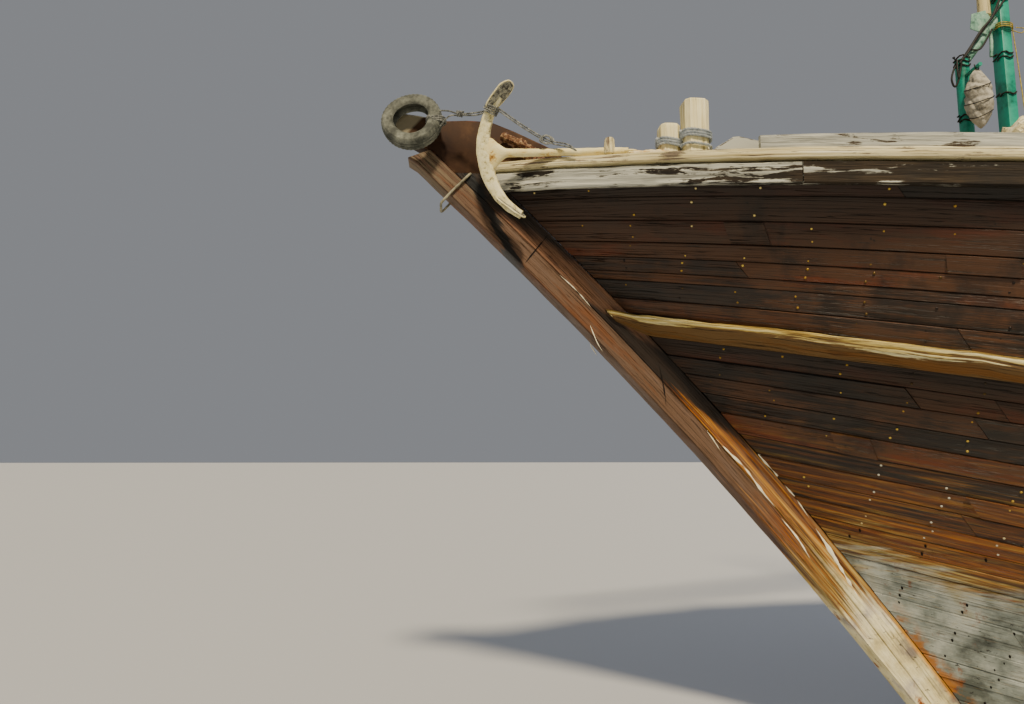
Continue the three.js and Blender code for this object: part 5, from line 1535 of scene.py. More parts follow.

# %% [markdown]
# The windlass that brings up the anchor is a barrel between two cheeks, with staves on it to grip the rope.

# %% Windlass
POLE = timber("oiled spar timber", ("#1d140d", "#3a2a1c", "#5e4830", "#836a48", "#a68d66"), 0.55,
              pores=0.6, splits=0.8, stains=0.5, gloss=0.35, bump=0.005)
WINDLASS_X = 8.3
barrel_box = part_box("windlass_barrel")
axis_z = (barrel_box[0].z + barrel_box[1].z) / 2
deck_low = deck_z(WINDLASS_X) - 0.05
bm = bmesh.new()
for side in (1, -1):
    y0, y1 = sorted((side * 0.632, side * 0.768))
    cheek = [(8.15, deck_low), (8.45, deck_low), (8.44, axis_z + 0.1), (8.38, axis_z + 0.215),
             (8.22, axis_z + 0.215), (8.16, axis_z + 0.1)]
    plate(bm, cheek, y0, y1, 0.012, (0, 0, 1), tone=0.4)
    knee = [(8.44, deck_low), (8.478, deck_low + 0.02), (8.46, deck_low + 0.2), (8.44, deck_low + 0.3)]
    plate(bm, knee, y0 + 0.03, y1 - 0.03, 0.008, (0, 0, 1), tone=0.3)
block(bm, (8.12, -0.7, deck_low), (8.48, 0.7, deck_low + 0.17), 0.012, (0, 1, 0), tone=0.6)
finish(bm, "windlass_frame", POLE, "spar_wood", ["windlass_frame"])
bm = bmesh.new()


def barrel(a, b):
    y = mix(-0.624, 0.624, a)
    turn = 2 * math.pi * b
    flat = math.cos(math.pi / 8) / math.cos((turn % (math.pi / 4)) - math.pi / 8)
    drum = 1.25 if 0.08 < abs(y) < 0.1 or 0.56 < abs(y) < 0.6 else (0.80 if abs(y) > 0.615 else 1.0)
    radius = 0.148 * mix(flat, 1.0, 0.3) * min(drum, 1.24)
    return Vector((WINDLASS_X + radius * math.cos(turn), y, axis_z + radius * math.sin(turn)))


loft(bm, 80, 32, barrel, (1.25, 0.95), 0.6)
tube(bm, [(WINDLASS_X, y, axis_z) for y in (-0.755, 0.0, 0.755)], 0.048, 24, 4)
for side in (1, -1):
    for k in range(8):
        turn = Matrix.Translation((WINDLASS_X, 0, axis_z)) @ Matrix.Rotation(math.radians(45 * k + 22.5),
                4, "Y")
        y0, y1 = sorted((side * 0.12, side * 0.55))
        block(bm, (0.128, y0, -0.02), (0.172, y1, 0.02), 0.006, (0, 1, 0), turn)
finish(bm, "windlass_barrel", POLE, "spar_wood", ["windlass_barrel"], body="windlass")
bm = bmesh.new()
points = []
for k in range(12 * 9 + 1):
    t = 2 * math.pi * k / 12
    points.append((WINDLASS_X + 0.192 * math.cos(t), 0.16 + 0.0325 * k / 12, axis_z + 0.192 * math.sin(t)))
rope(bm, points, 0.032, per_turn=5)
finish(bm, "windlass_rope", GREY_ROPE, "rope", body="windlass")

# %% [markdown]
# Two gloss-painted posts stand on the foredeck with a slanting brace between them. Cable and cord are wound
# round them, a bracket is bolted to the brace, and a furled bundle of canvas hangs from a peg.

# %% Foredeck posts
TEAL = simple("gloss teal paint", [(0.42, "#06352c"), (0.52, "#0c6653"), (0.66, "#12907a"),
                                   (0.9, "#1aa78e")], 3.2, 0.42, 0.002, 8, gloss=0.5)
GREEN_IRON = simple("chalky green paint on iron",
                    [(0.44, "#2c4f43"), (0.56, "#4f7f6e"), (0.68, "#7ba794"), (0.86, "#a3c4b2")], 9.0, 0.6,
                    0.002, 8)
ROUND_X, SQUARE_X, SQUARE_HALF, SQUARE_DEEP = 6.79, 6.285, 0.0595, 0.0895
foot = deck_z(6.5) - 0.06
bundle_low, bundle_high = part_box("canvas_bundle")
peg_z = bundle_high.z + 0.0223
bm = bmesh.new()
tube(bm, [(ROUND_X, 0, foot), (ROUND_X, 0, 6.2), (ROUND_X, 0, 7.36)], 0.074, 24, 10)
tube(bm, [(ROUND_X, 0, 7.355), (ROUND_X, 0, 7.37)], lambda a: mix(0.07, 0.055, a), 24, 2)
tube(bm, [(ROUND_X, 0, 5.0), (SQUARE_X, 0, 5.0)], 0.045, 16, 4)
tube(bm, [(ROUND_X, 0, peg_z), (ROUND_X + 0.018, 0.17, peg_z), (ROUND_X + 0.036, 0.34, peg_z)], 0.0215, 12, 8)
block(bm, (SQUARE_X - SQUARE_HALF, -SQUARE_DEEP, foot), (SQUARE_X + SQUARE_HALF, SQUARE_DEEP, 8.3), 0.012,
      (0, 0, 1))
block(bm, (SQUARE_X - 0.26, -0.2, foot), (ROUND_X + 0.26, 0.2, foot + 0.115), 0.012)
finish(bm, "foredeck_posts", TEAL, "teal_paint", ["foredeck_post_frame"])
bm = bmesh.new()
tube(bm, [(ROUND_X - 0.01, 0, 7.31), (6.55, 0, 7.6), (SQUARE_X + 0.03, 0, 7.89)], 0.0447, 16, 12)
plate(bm, [(6.50, 7.66), (6.70, 7.72), (6.67, 7.90), (6.50, 7.955), (6.44, 7.86)], 0.052, 0.064, 0.004)
tube(bm, [(6.445, 0.03, 7.78), (6.45, 0.05, 7.6), (6.47, 0.055, 7.40)], 0.019, 10, 8)
finish(bm, "post_brace", GREEN_IRON, "teal_paint", ["foredeck_post_frame"])
bm = bmesh.new()
for x, z, count in ((SQUARE_X, 7.38, 2), (SQUARE_X, 8.08, 3), (SQUARE_X, 6.95, 1), (ROUND_X, 6.62, 2),
                    (ROUND_X, 7.27, 3)):
    points = []
    for k in range(12 * count + 1):
        t = 2 * math.pi * k / 12
        wide, deep = (0.083, 0.083) if x == ROUND_X else (SQUARE_HALF + 0.012, SQUARE_DEEP + 0.012)
        corner = 1.0 if x == ROUND_X else min(1 / max(abs(math.cos(t)), abs(math.sin(t))), 1.28)
        points.append((x + wide * corner * math.cos(t), deep * corner * math.sin(t),
                       z + 0.05 * k / 12 + 0.02 * math.sin(t + k)))
    tube(bm, points, 0.009, 8, 16 * count)
LOOSE_CABLES = (([(6.86, 0.06, 7.3), (6.77, 0.09, 7.42), (6.62, 0.07, 7.62), (6.5, 0.08, 7.78),
                  (6.40, 0.10, 7.92), (6.31, 0.12, 8.05)], 0.012),
                ([(6.84, 0.07, 7.33), (6.72, 0.08, 7.50), (6.58, 0.08, 7.70), (6.45, 0.10, 7.86),
                  (6.34, 0.11, 8.1)], 0.014), ([(6.87, 0.03, 7.30), (6.93, 0.05, 7.22), (6.97, 0.06, 7.10),
                                                (6.93, 0.05, 7.02), (6.88, 0.06, 7.12), (6.85, 0.08, 7.3)],
                                               0.011), ([(6.88, 0.05, 7.34), (6.90, 0.07, 7.22),
                                                         (6.89, 0.07, 7.12), (6.86, 0.07, 7.25)], 0.010),
                ([(6.72, 0.07, 7.46), (6.58, 0.05, 7.50), (6.45, 0.08, 7.72)], 0.010))
for points, radius in LOOSE_CABLES:
    tube(bm, points, radius, 8, 40)
finish(bm, "post_cables", DARK_LINE, "rope")
bm = bmesh.new()
for k in range(3):
    lift = 7.74 + 0.022 * k
    corners = [(SQUARE_X + x * (SQUARE_HALF + 0.012), y * (SQUARE_DEEP + 0.012), lift + 0.01 * x)
               for x, y in ((1, 1), (-1, 1), (-1, -1), (1, -1))]
    tube(bm, corners, 0.006, 6, 24, closed=True)
tube(bm, [(6.215, 0.09, 7.74), (6.20, 0.11, 7.3), (6.18, 0.13, 6.6), (6.16, 0.14, 5.9), (6.16, 0.13, 5.4)],
     0.006, 6, 30)
tube(bm, [(6.215, 0.10, 7.7), (6.14, 0.13, 7.66), (6.09, 0.12, 7.72), (6.18, 0.10, 7.74)], 0.005, 6, 20)
finish(bm, "post_cord", YELLOW_LINE, "rope")

STAFF = timber("bleached staff", ("#3a3116", "#6f6032", "#9c8a4e", "#b9a76a", "#d1c391"), 0.6, pores=0.5,
               splits=0.7)
bm = bmesh.new()
pole_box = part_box("lamp_pole")
pole_x = (pole_box[0].x + pole_box[1].x) / 2
pole_foot = pole_box[0].z + 0.118
tube(bm, [(pole_x, 0, pole_foot), (pole_x, 0, 8.6), (pole_x, 0, pole_box[1].z)],
     lambda a: mix(0.069, 0.0445, a), 20, 16)
finish(bm, "lamp_pole", STAFF, "spar_wood", ["lamp_pole"])

# %% [markdown]
# The canvas bundle is cloth wound round itself and tied, so its form is a spindle with spiral folds between
# the ties. It is a stuffed piece, not a sheet, because only its outside shows.

# %% Canvas bundle
CANVAS = simple("weathered canvas", [(0.42, "#3f3d37"), (0.54, "#7d7a6f"), (0.66, "#aaa698"),
                                     (0.85, "#c9c5b6")], 9.0, 0.95, 0.004, 8, gloss=0.15)
low, high = bundle_low, bundle_high
middle = (low + high) / 2
BUNDLE_TIES = (0.24, 0.46, 0.70)


def bundle_radius(a):
    radius = 0.148 * math.sin(math.pi * min(max(a, 0.004), 0.996)) ** 0.62
    pinch = sum(math.exp(-((a - tie) / 0.028) ** 2) for tie in BUNDLE_TIES)
    return radius * (1 - 0.05 * min(pinch, 1.0))


def bundle_point(a, b):
    turn = 2 * math.pi * b
    ridge = abs(math.sin(turn + 7.5 * a + 0.6 * math.sin(9 * a)))
    fold = 0.78 + 0.24 * ridge ** 0.5 + 0.03 * math.sin(7 * turn - 14 * a) + 0.02 * math.sin(15 * turn + 31
            * a)
    radius = bundle_radius(a) * fold * 0.97
    z = mix(low.z, high.z, a)
    return Vector((middle.x + radius * math.cos(turn), middle.y + radius * math.sin(turn) * 0.95, z))


bm = bmesh.new()
loft(bm, 84, 56, bundle_point, (0.7, 0.9))
bundle = finish(bm, "canvas_bundle", CANVAS, "canvas", ["canvas_bundle"], smooth=60)
bm = bmesh.new()
for tie in BUNDLE_TIES:
    points = []
    for k in range(14):
        t = 2 * math.pi * k / 14
        at = tie + 0.10 * math.sin(t - 2.2)
        radius = bundle_radius(at) * 0.98 + 0.003
        points.append((middle.x + radius * math.cos(t), middle.y + radius * math.sin(t),
                       mix(low.z, high.z, at)))
    tube(bm, points, 0.0055, 6, 42, closed=True)
for lean in (-0.02, 0.02):
    tube(bm, [(middle.x, middle.y, high.z - 0.06), (middle.x + lean, middle.y + 0.01, high.z + 0.01),
              (middle.x + lean, middle.y, peg_z + 0.026),
              (middle.x - lean * 0.5, middle.y - 0.01, high.z - 0.03)], 0.007, 6, 16)
finish(bm, "bundle_ties", DARK_LINE, "rope")

# %% [markdown]
# The mast rakes forward and carries one long yard, made of two or three spars lashed end to end, as long as
# the boat itself. The sail is furled along it in gaskets. Everything here is set against the mast's own
# raked frame.

# %% Mast
RAKE = math.radians(8)
MAST_X, MAST_TOP = 2.6, 16.2
MAST_FOOT = next(j for j in frame["joints"] if j["name"] == "yard_swing")["pos_m"][2]
RAKED = Matrix.Translation((MAST_X, 0, MAST_FOOT)) @ Matrix.Rotation(RAKE, 4, "Y")
MAST_LENGTH = (MAST_TOP - MAST_FOOT) / math.cos(RAKE)


def up_mast(z):
    return (z - MAST_FOOT) / math.cos(RAKE)


def mast_radius(z):
    return mix(0.2, 0.095, up_mast(z) / MAST_LENGTH)


bm = bmesh.new()


def mast_point(a, b):
    turn = 2 * math.pi * b
    radius = mix(0.199, 0.094, a) * (1 + 0.012 * noise.noise(Vector((math.cos(turn), math.sin(turn),
            a * 14))))
    return RAKED @ Vector((radius * math.cos(turn), radius * math.sin(turn), MAST_LENGTH * a))


loft(bm, 70, 32, mast_point, (13, 0.9), 0.55)
head = MAST_LENGTH - 1.3
for side in (1, -1):
    y0, y1 = sorted((side * 0.075, side * 0.13))
    cheek = [(-0.21, head), (0.16, head + 0.03), (0.16, head + 0.47), (-0.1, head + 0.5), (-0.21, head + 0.4)]
    plate(bm, cheek, y0, y1, 0.01, (0, 0, 1), RAKED, 0.4)
block(bm, (-0.2, -0.07, head + 0.02), (-0.12, 0.07, head + 0.12), 0.01, turn=RAKED)
block(bm, (-0.2, -0.07, head + 0.38), (-0.12, 0.07, head + 0.46), 0.01, turn=RAKED)
finish(bm, "mast", POLE, "spar_wood", ["mast"])
bm = bmesh.new()
for z in (4.9, 6.9, 9.0, 13.7, 15.9):
    ring(bm, RAKED @ Vector((0, 0, up_mast(z))), RAKED.to_3x3() @ Vector((0, 0, 1)),
         mast_radius(z) + 0.004, 0.03, 6, 32)
sheave_hub = RAKED @ Vector((-0.165, 0, head + 0.25))
tube(bm, [sheave_hub + Vector((0, y, 0)) for y in (-0.132, 0, 0.132)], 0.022, 12, 3)
finish(bm, "mast_bands", IRON, "steel")

# %% Mast bed
bm = bmesh.new()
foot_z = MAST_FOOT
for side in (1, -1):
    y0, y1 = sorted((side * 0.205, side * 0.33))
    block(bm, (1.7, y0, deck_z(2.3) - 0.06), (3.02, y1, foot_z + 0.26), 0.015, tone=0.4)
block(bm, (1.7, -0.205, deck_z(2.3) - 0.06), (2.33, 0.205, foot_z + 0.2), 0.012, tone=0.55)
block(bm, (2.87, -0.205, deck_z(2.3) - 0.06), (3.02, 0.205, foot_z + 0.2), 0.012, tone=0.55)
post = [(1.75, foot_z), (1.96, foot_z), (1.96, foot_z + 0.88), (1.93, foot_z + 0.9), (1.78, foot_z + 0.9),
        (1.75, foot_z + 0.88)]
plate(bm, post, -0.105, 0.105, 0.012, (0, 0, 1), tone=0.6)
for lift in (0.35, 0.62):
    tube(bm, [(1.855, y, foot_z + lift) for y in (-0.3, 0, 0.3)], 0.03, 12, 3)
finish(bm, "mast_bed", POST_OIL, "stem_wood", ["mast_bed"])

# %% [markdown]
# A tackle of four parts holds the yard up, from a sheave block at the mast's head to a great block on the
# post abaft it. It is set up tight, so it is modelled as straight laid rope between two shells.

# %% Halyard tackle
fall_low, fall_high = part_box("halyard_fall")
upper = Vector((fall_high.x - 0.04, 0, fall_high.z))
lower = Vector((1.855, 0, fall_low.z + 0.02))
bm = bmesh.new()
way = (upper - lower).normalized()
for y in (-0.021, -0.007, 0.007, 0.021):
    rope(bm, [lower + way * 0.42 + Vector((0, y * 2, 0)), lower.lerp(upper, 0.5) + Vector((0, y, 0)),
              upper - way * 0.30 + Vector((0, y * 1.2, 0))], 0.014, 4, lay=5.0, per_turn=4)
rope(bm, [lower + way * 0.1 + Vector((-0.02, 0.10, 0.1)), (1.82, 0.125, MAST_FOOT + 0.8),
          (1.72, 0.05, MAST_FOOT + 0.62), (1.73, -0.06, MAST_FOOT + 0.60),
          (1.86, -0.125, MAST_FOOT + 0.55), (1.98, 0.0, MAST_FOOT + 0.55), (1.86, 0.125, MAST_FOOT + 0.5),
          (1.73, 0.0, MAST_FOOT + 0.46)], 0.026, 4, per_turn=5)
finish(bm, "halyard_rope", GREY_ROPE, "rope", ["halyard_fall"])
bm = bmesh.new()
for at, size in ((lower + way * 0.24, 0.19), (upper - way * 0.16, 0.15)):
    turn = Matrix.Translation(at) @ way.to_track_quat("Z", "Y").to_matrix().to_4x4()
    shape = [(-size * 0.42, -size), (size * 0.42, -size), (size * 0.55, -size * 0.3),
             (size * 0.5, size * 0.7), (size * 0.2, size), (-size * 0.2, size), (-size * 0.5, size * 0.7),
             (-size * 0.55, -size * 0.3)]
    for y in (-0.065, -0.02, 0.025, 0.07):
        plate(bm, shape, y - 0.012, y + 0.008, 0.006, (0, 0, 1), turn, 0.5)
finish(bm, "halyard_blocks", POLE, "spar_wood", ["halyard_fall"])

# %% Shrouds
SHROUD_Z, SHROUD_FEET = 11.0, (1.9, 0.5)
bm, wood_bm, iron_bm = bmesh.new(), bmesh.new(), bmesh.new()
collar_radius = mast_radius(SHROUD_Z)
for k in range(3):
    at = RAKED @ Vector((0, 0, up_mast(SHROUD_Z) - 0.05 + 0.035 * k))
    around(bm, at, RAKED.to_3x3() @ Vector((0, 0, 1)), collar_radius + 0.02, 0.034, 1)
for x in SHROUD_FEET:
    for side in (1, -1):
        foot = Vector((x, side * 3.56, rail_z(x)))
        top = RAKED @ Vector((0, side * (collar_radius + 0.02), up_mast(SHROUD_Z)))
        dead = foot + Vector((0, 0, 0.33))
        way = (top - dead).normalized()
        upper_eye = dead + way * 0.62
        tube(bm, [upper_eye, upper_eye.lerp(top, 0.5), top], 0.0155, 8, 10)
        for k in range(3):
            shift = Vector((0.045 * (k - 1), 0, 0))
            tube(bm, [dead + shift + way * 0.02, dead + shift + way * 0.30, upper_eye + shift], 0.009, 6, 4)
        for at, radius in ((dead, 0.075), (upper_eye, 0.075)):
            turn = Matrix.Translation(at) @ Matrix.Rotation(math.pi / 2, 4, "X")
            rows = [(0.0, -0.036), (radius * 0.8, -0.036), (radius, -0.018), (radius, 0.018),
                    (radius * 0.8, 0.036), (0.0, 0.036)]
            loft(wood_bm, 5, 20, lambda a,
                 b: turn @ Vector((rows[round(a * 5)][0] * math.cos(2 * math.pi * b),
                                   rows[round(a * 5)][0] * math.sin(2 * math.pi * b),
                                   rows[round(a * 5)][1])), (0.1, 0.4))
            ring(iron_bm, at, (0, 1, 0), radius + 0.006, 0.02, 6, 20)
        tube(iron_bm, [dead - Vector((0, 0, 0.07)), foot + Vector((0, 0, 0.1)),
                       foot - Vector((0, 0, 0.02))], 0.02, 10, 4)
        block(iron_bm, foot - Vector((0.09, 0.05, 0.004)), foot + Vector((0.09, 0.05, 0.012)), 0.003)
finish(bm, "shroud_ropes", DARK_LINE, "rope", ["shrouds"])
finish(wood_bm, "shroud_deadeyes", POLE, "spar_wood", ["shrouds"])
finish(iron_bm, "shroud_irons", IRON, "steel", ["shrouds"])

# %% Yard, sail and parrel
YARD_Z, YARD_SLOPE, YARD_SIDE = 12.5, math.radians(25), 0.39
YARD_X = MAST_X + (YARD_Z - MAST_FOOT) * math.tan(RAKE)


def yard_point(run, drop=0.0, y=0.0):
    return Vector((YARD_X + run * math.cos(YARD_SLOPE) - drop * math.sin(YARD_SLOPE), YARD_SIDE + y,
                   YARD_Z - run * math.sin(YARD_SLOPE) - drop * math.cos(YARD_SLOPE)))


def yard_radius(run):
    if abs(run) < 1.5:
        return 0.148
    reach = 8.4 if run > 0 else 13.0
    return mix(0.148, 0.054, (abs(run) - 1.5) / (reach - 1.5))


bm = bmesh.new()


def spar(bm, low, high, scale=1.0, shift=0.0, tone=0.5):
    def place(a, b):
        run = mix(low, high, a)
        ends = 1.0 if 0.003 < a < 0.997 else 0.75
        turn = 2 * math.pi * b
        wobble = 1 + 0.02 * noise.noise(Vector((run * 1.3, math.cos(turn), math.sin(turn))))
        radius = yard_radius(run) * scale * ends * wobble
        return yard_point(run, shift * yard_radius(run) + radius * math.cos(turn), radius * math.sin(turn))

    loft(bm, max(8, round((high - low) * 5)), 20, place, (high - low, 0.8), tone)


spar(bm, -7.5, 8.4, 0.99)
spar(bm, -13.0, -4.2, 0.9, -0.10, 0.3)
spar(bm, -4.6, 3.9, 0.42, -1.05, 0.75)
finish(bm, "yard_spars", POLE, "spar_wood", ["yard"], body="yard")

CANVAS_SAIL = simple("old sailcloth", [(0.42, "#6e685a"), (0.56, "#a29a86"), (0.68, "#c5bda6"),
                                       (0.85, "#d8d2bf")], 3.2, 0.95, 0.004, 8, gloss=0.15)
SAIL_FORE, SAIL_AFT, SAIL_RADIUS = 7.6, 12.0, 0.21
SAIL_DROP = 0.150 + 0.045 + SAIL_RADIUS - 0.0027
GASKET = 0.9


def sail_radius(run):
    if abs(run) < 1.5:
        return SAIL_RADIUS
    reach = SAIL_FORE if run > 0 else SAIL_AFT
    return mix(SAIL_RADIUS, SAIL_RADIUS * 0.45, (abs(run) - 1.5) / (reach - 1.5))


def sail_point(a, b):
    run = mix(-SAIL_AFT, SAIL_FORE, a)
    turn = 2 * math.pi * b
    phase = (run / GASKET) % 1.0
    pinch = 1 - 0.17 * math.exp(-((min(phase, 1 - phase)) / 0.09) ** 2)
    fold = 0.97 + 0.05 * math.sin(4 * turn + 1.4 * run) + 0.03 * math.sin(9 * turn - 2.3 *
            run) + 0.03 * noise.noise(Vector((run * 1.5, b * 7, 3)))
    ends = math.sqrt(max(1 - abs(2 * a - 1) ** 60, 0.0))
    radius = sail_radius(run) * min(fold, 1.0) * pinch * max(ends, 0.02)
    sag = 0.012 * math.sin(math.pi * phase) * max(0.0, math.cos(turn))
    top, bottom = yard_radius(run) + 0.03, SAIL_DROP + sail_radius(run)
    deep = (bottom - top) / 2
    middle = (bottom + top) / 2
    return yard_point(run, middle + deep * radius / sail_radius(run) * math.cos(turn) + sag,
                      radius * math.sin(turn))


bm = bmesh.new()
loft(bm, 300, 40, sail_point, (19.6, 1.3))
sail = finish(bm, "furled_sail", CANVAS_SAIL, "canvas", ["furled_sail"], body="yard", smooth=60)
bm = bmesh.new()
count = int((SAIL_FORE + SAIL_AFT) / GASKET)
for k in range(count):
    run = (k - int(SAIL_AFT / GASKET)) * GASKET
    if not -SAIL_AFT + 0.2 < run < SAIL_FORE - 0.2:
        continue
    top, bottom = yard_radius(run) + 0.012, SAIL_DROP + sail_radius(run) * 0.86 + 0.014
    if -4.6 < run < 3.9:
        top = yard_radius(run) * 1.47 + 0.012
    half = (top + bottom) / 2
    for shift in (-0.014, 0.014):
        points = []
        for j in range(14):
            t = 2 * math.pi * j / 14
            width = mix(yard_radius(run), sail_radius(run), 0.5 + 0.5 * math.sin(t)) + 0.012
            points.append(yard_point(run + shift + 0.02 * math.sin(t),
                                     (bottom - top) / 2 + half * math.sin(t), width * math.cos(t)))
        tube(bm, points, 0.011, 6, 30, closed=True)
finish(bm, "sail_gaskets", GREY_ROPE, "rope", body="yard")

bm, bead_bm = bmesh.new(), bmesh.new()
parrel_z = YARD_Z + 0.06
at = up_mast(parrel_z)
for lift in (-0.03, 0.03):
    ring(bm, RAKED @ Vector((0, 0, at + lift)), RAKED.to_3x3() @ Vector((0, 0, 1)),
         mast_radius(parrel_z) + 0.037, 0.028, 8, 40)
for k in range(14):
    t = 2 * math.pi * (k + 0.5) / 14
    radius = mast_radius(parrel_z) + 0.037
    spot = RAKED @ Vector((radius * math.cos(t), radius * math.sin(t), at))
    bmesh.ops.create_uvsphere(bead_bm, u_segments=12, v_segments=8, radius=0.034,
                              matrix=Matrix.Translation(spot))
for shift in (-0.045, 0.0, 0.045):
    points = [yard_point(shift, (yard_radius(0) + 0.018) * math.cos(t),
                         (yard_radius(0) + 0.018) * math.sin(t)) for t in
              (2 * math.pi * j / 12 for j in range(12))]
    tube(bm, points, 0.017, 8, 30, closed=True)
for lift in (-0.03, 0.03):
    start = RAKED @ Vector((0.0, mast_radius(parrel_z) + 0.037, at + lift))
    tube(bm, [start, start.lerp(yard_point(0), 0.45), yard_point(0, -0.02, -0.13)], 0.016, 8, 8)
finish(bm, "parrel_ropes", GREY_ROPE, "rope", ["parrel"], body="yard")
grain_uv(bead_bm, bead_bm.faces)
finish(bead_bm, "parrel_beads", POLE, "spar_wood", ["parrel"], body="yard", smooth=60)

# %% [markdown]
# The hold's hatch is a coaming of four thick boards. A tarpaulin is pulled over the hatch boards and nailed
# down at the sides under battens.

# %% Hatch
HATCH_X, HATCH_Y = (-4.3, 1.1), 1.55
cover_low, cover_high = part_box("hatch_cover")
coaming_foot = deck_z(-1.0) - 0.05
bm = bmesh.new()
for side in (1, -1):
    y0, y1 = sorted((side * (HATCH_Y - 0.08), side * HATCH_Y))
    for low, high in ((0.0, 0.26), (0.265, 0.478)):
        block(bm, (HATCH_X[0], y0, coaming_foot + low), (HATCH_X[1], y1, coaming_foot + high), 0.006,
              tone=choose.random())
for x in HATCH_X:
    x0, x1 = sorted((x, x + (0.08 if x < 0 else -0.08)))
    for low, high in ((0.0, 0.25), (0.255, 0.478)):
        block(bm, (x0, -HATCH_Y + 0.083, coaming_foot + low), (x1, HATCH_Y - 0.083, coaming_foot + high),
              0.006, (0, 1, 0), tone=choose.random())
for k in range(5):
    x = mix(HATCH_X[0] + 0.3, HATCH_X[1] - 0.3, k / 4)
    block(bm, (x - 0.06, -HATCH_Y + 0.083, coaming_foot + 0.33),
          (x + 0.06, HATCH_Y - 0.083, coaming_foot + 0.478), 0.006, (0, 1, 0))
finish(bm, "hatch_coaming", POLE, "spar_wood", ["hatch_coaming"])
bm = bmesh.new()
for k in range(18):
    x0 = mix(cover_low.x + 0.02, cover_high.x - 0.02, k / 18)
    x1 = mix(cover_low.x + 0.02, cover_high.x - 0.02, (k + 1) / 18) - 0.004
    block(bm, (x0, cover_low.y + 0.02, cover_low.z), (x1, cover_high.y - 0.02, cover_high.z - 0.012),
          0.004, (0, 1, 0), tone=choose.random())
hatch_boards = finish(bm, "hatch_boards", DECK_TEAK, "deck_wood")

TARPAULIN = simple("faded tarpaulin", [(0.42, "#3f4a44"), (0.55, "#5c6a60"), (0.68, "#7a857a"),
                                       (0.88, "#979f93")], 2.2, 0.7, 0.006, 9, gloss=0.3)
TARP_HALF, TARP_WIDE, TARP_DROP = (cover_high.x - cover_low.x) / 2, cover_high.y, 0.20
tarp_middle = (cover_low.x + cover_high.x) / 2


def tarp_top(x, y):
    slat = abs(((x - cover_low.x) / (2 * TARP_HALF) * 18) % 1.0 - 0.5)
    ripple = 0.004 * noise.noise(Vector((x * 1.7, y * 1.7,
                                         5))) + 0.003 * math.sin(8 * y + 3 * math.sin(x * 2))
    return cover_high.z - 0.006 - 0.004 * max(0.0, slat - 0.4) * 10 + ripple * 0.7


def tarp_spot(u, v):
    """A point of the cloth, from how far it lies from the middle: over the edge it hangs down."""
    reach_x, reach_y = TARP_HALF - 0.01, TARP_WIDE - 0.01
    x, y = tarp_middle + min(max(u, -reach_x), reach_x), min(max(v, -reach_y), reach_y)
    over = max(abs(u) - reach_x, 0.0) + max(abs(v) - reach_y, 0.0)
    wave = 0.006 * math.sin(9 * u + 2 * math.sin(3 * v)) * math.sin(7 * v + 1.3) if over > 0.02 else 0.0
    push = 0.012 * min(over / 0.03, 1.0) + abs(wave)
    if abs(u) > reach_x:
        x += math.copysign(push, u)
    if abs(v) > reach_y:
        y += math.copysign(push, v)
    return Vector((x, y, tarp_top(x, y) - over))


def spaced(reach, drop, count):
    inner = [mix(-reach, reach, k / count) for k in range(count + 1)]
    return [-reach - drop + d for d in (0, drop * 0.25, drop * 0.5, drop * 0.75, drop - 0.012)] + inner + \
        [reach + d for d in (0.012, drop * 0.25, drop * 0.5, drop * 0.75, drop)]


bm = bmesh.new()
uv, tones, girths = layers(bm)
rows_u, rows_v = spaced(TARP_HALF - 0.01, TARP_DROP, 72), spaced(TARP_WIDE - 0.01, TARP_DROP, 40)
steps_u, steps_v = len(rows_u) - 1, len(rows_v) - 1
made = bmesh.ops.create_grid(bm, x_segments=steps_u, y_segments=steps_v, size=0.5)["verts"]
flat_at = {}
for vert in made:
    u, v = rows_u[round((vert.co.x + 0.5) * steps_u)], rows_v[round((vert.co.y + 0.5) * steps_v)]
    flat_at[vert] = (u, v)
    vert.co = tarp_spot(u, v)
for face in bm.faces:
    for loop in face.loops:
        loop[uv].uv = flat_at[loop.vert]
tarpaulin = finish(bm, "hatch_tarpaulin", TARPAULIN, "canvas", ["hatch_cover"], smooth=60)
thickness = tarpaulin.modifiers.new("cloth", "SOLIDIFY")
thickness.thickness, thickness.offset = 0.003, 1.0
bm = bmesh.new()
for side in (1, -1):
    y0, y1 = sorted((side * (TARP_WIDE + 0.008), side * (TARP_WIDE + 0.03)))
    block(bm, (cover_low.x + 0.02, y0, cover_low.z + 0.01), (cover_high.x - 0.02, y1, cover_low.z + 0.06),
          0.004)
for x, out in ((cover_low.x, -1), (cover_high.x, 1)):
    x0, x1 = sorted((x + out * 0.008, x + out * 0.03))
    block(bm, (x0, -1.5, cover_low.z + 0.01), (x1, 1.5, cover_low.z + 0.06), 0.004, (0, 1, 0))
battens = finish(bm, "hatch_battens", POLE, "spar_wood")

# %% [markdown]
# The wheelhouse is boarded upright on a frame, with boards that change their lengths round each opening. It
# is out of the first view, but a scene may turn the boat round, so it is as finished as the bow.

# %% Wheelhouse
HOUSE_PAINT = timber("wheelhouse paint", ("#8f938b", "#b9bdb3", "#cfd3c8", "#dde0d5", "#eceee4"), 0.6,
                     pores=0.2, splits=0.45, stains=0.5, gloss=0.35, bump=0.002,
                     end=flaking(("#7a5f3f", "#9b7d56", "#b89a70", "#c9b08a"), 0.12, 3.0))
TRIM = timber("wheelhouse trim", ("#06352c", "#0c5e4d", "#12816c", "#18957d", "#2ba88f"), 0.5, pores=0.2,
              splits=0.4, stains=0.5, gloss=0.4, bump=0.002,
              end=flaking(("#7a5f3f", "#9b7d56", "#b89a70", "#c9b08a"), 0.08, 3.0))
FORE, AFT, HALF, FLOOR = -5.6, -8.6, 1.5, 3.875
WALL, BOARD = 0.06, 0.125
WALL_TOP = FLOOR + 2.15
GLASS_LOW, GLASS_HIGH = FLOOR + 1.15, FLOOR + 1.75
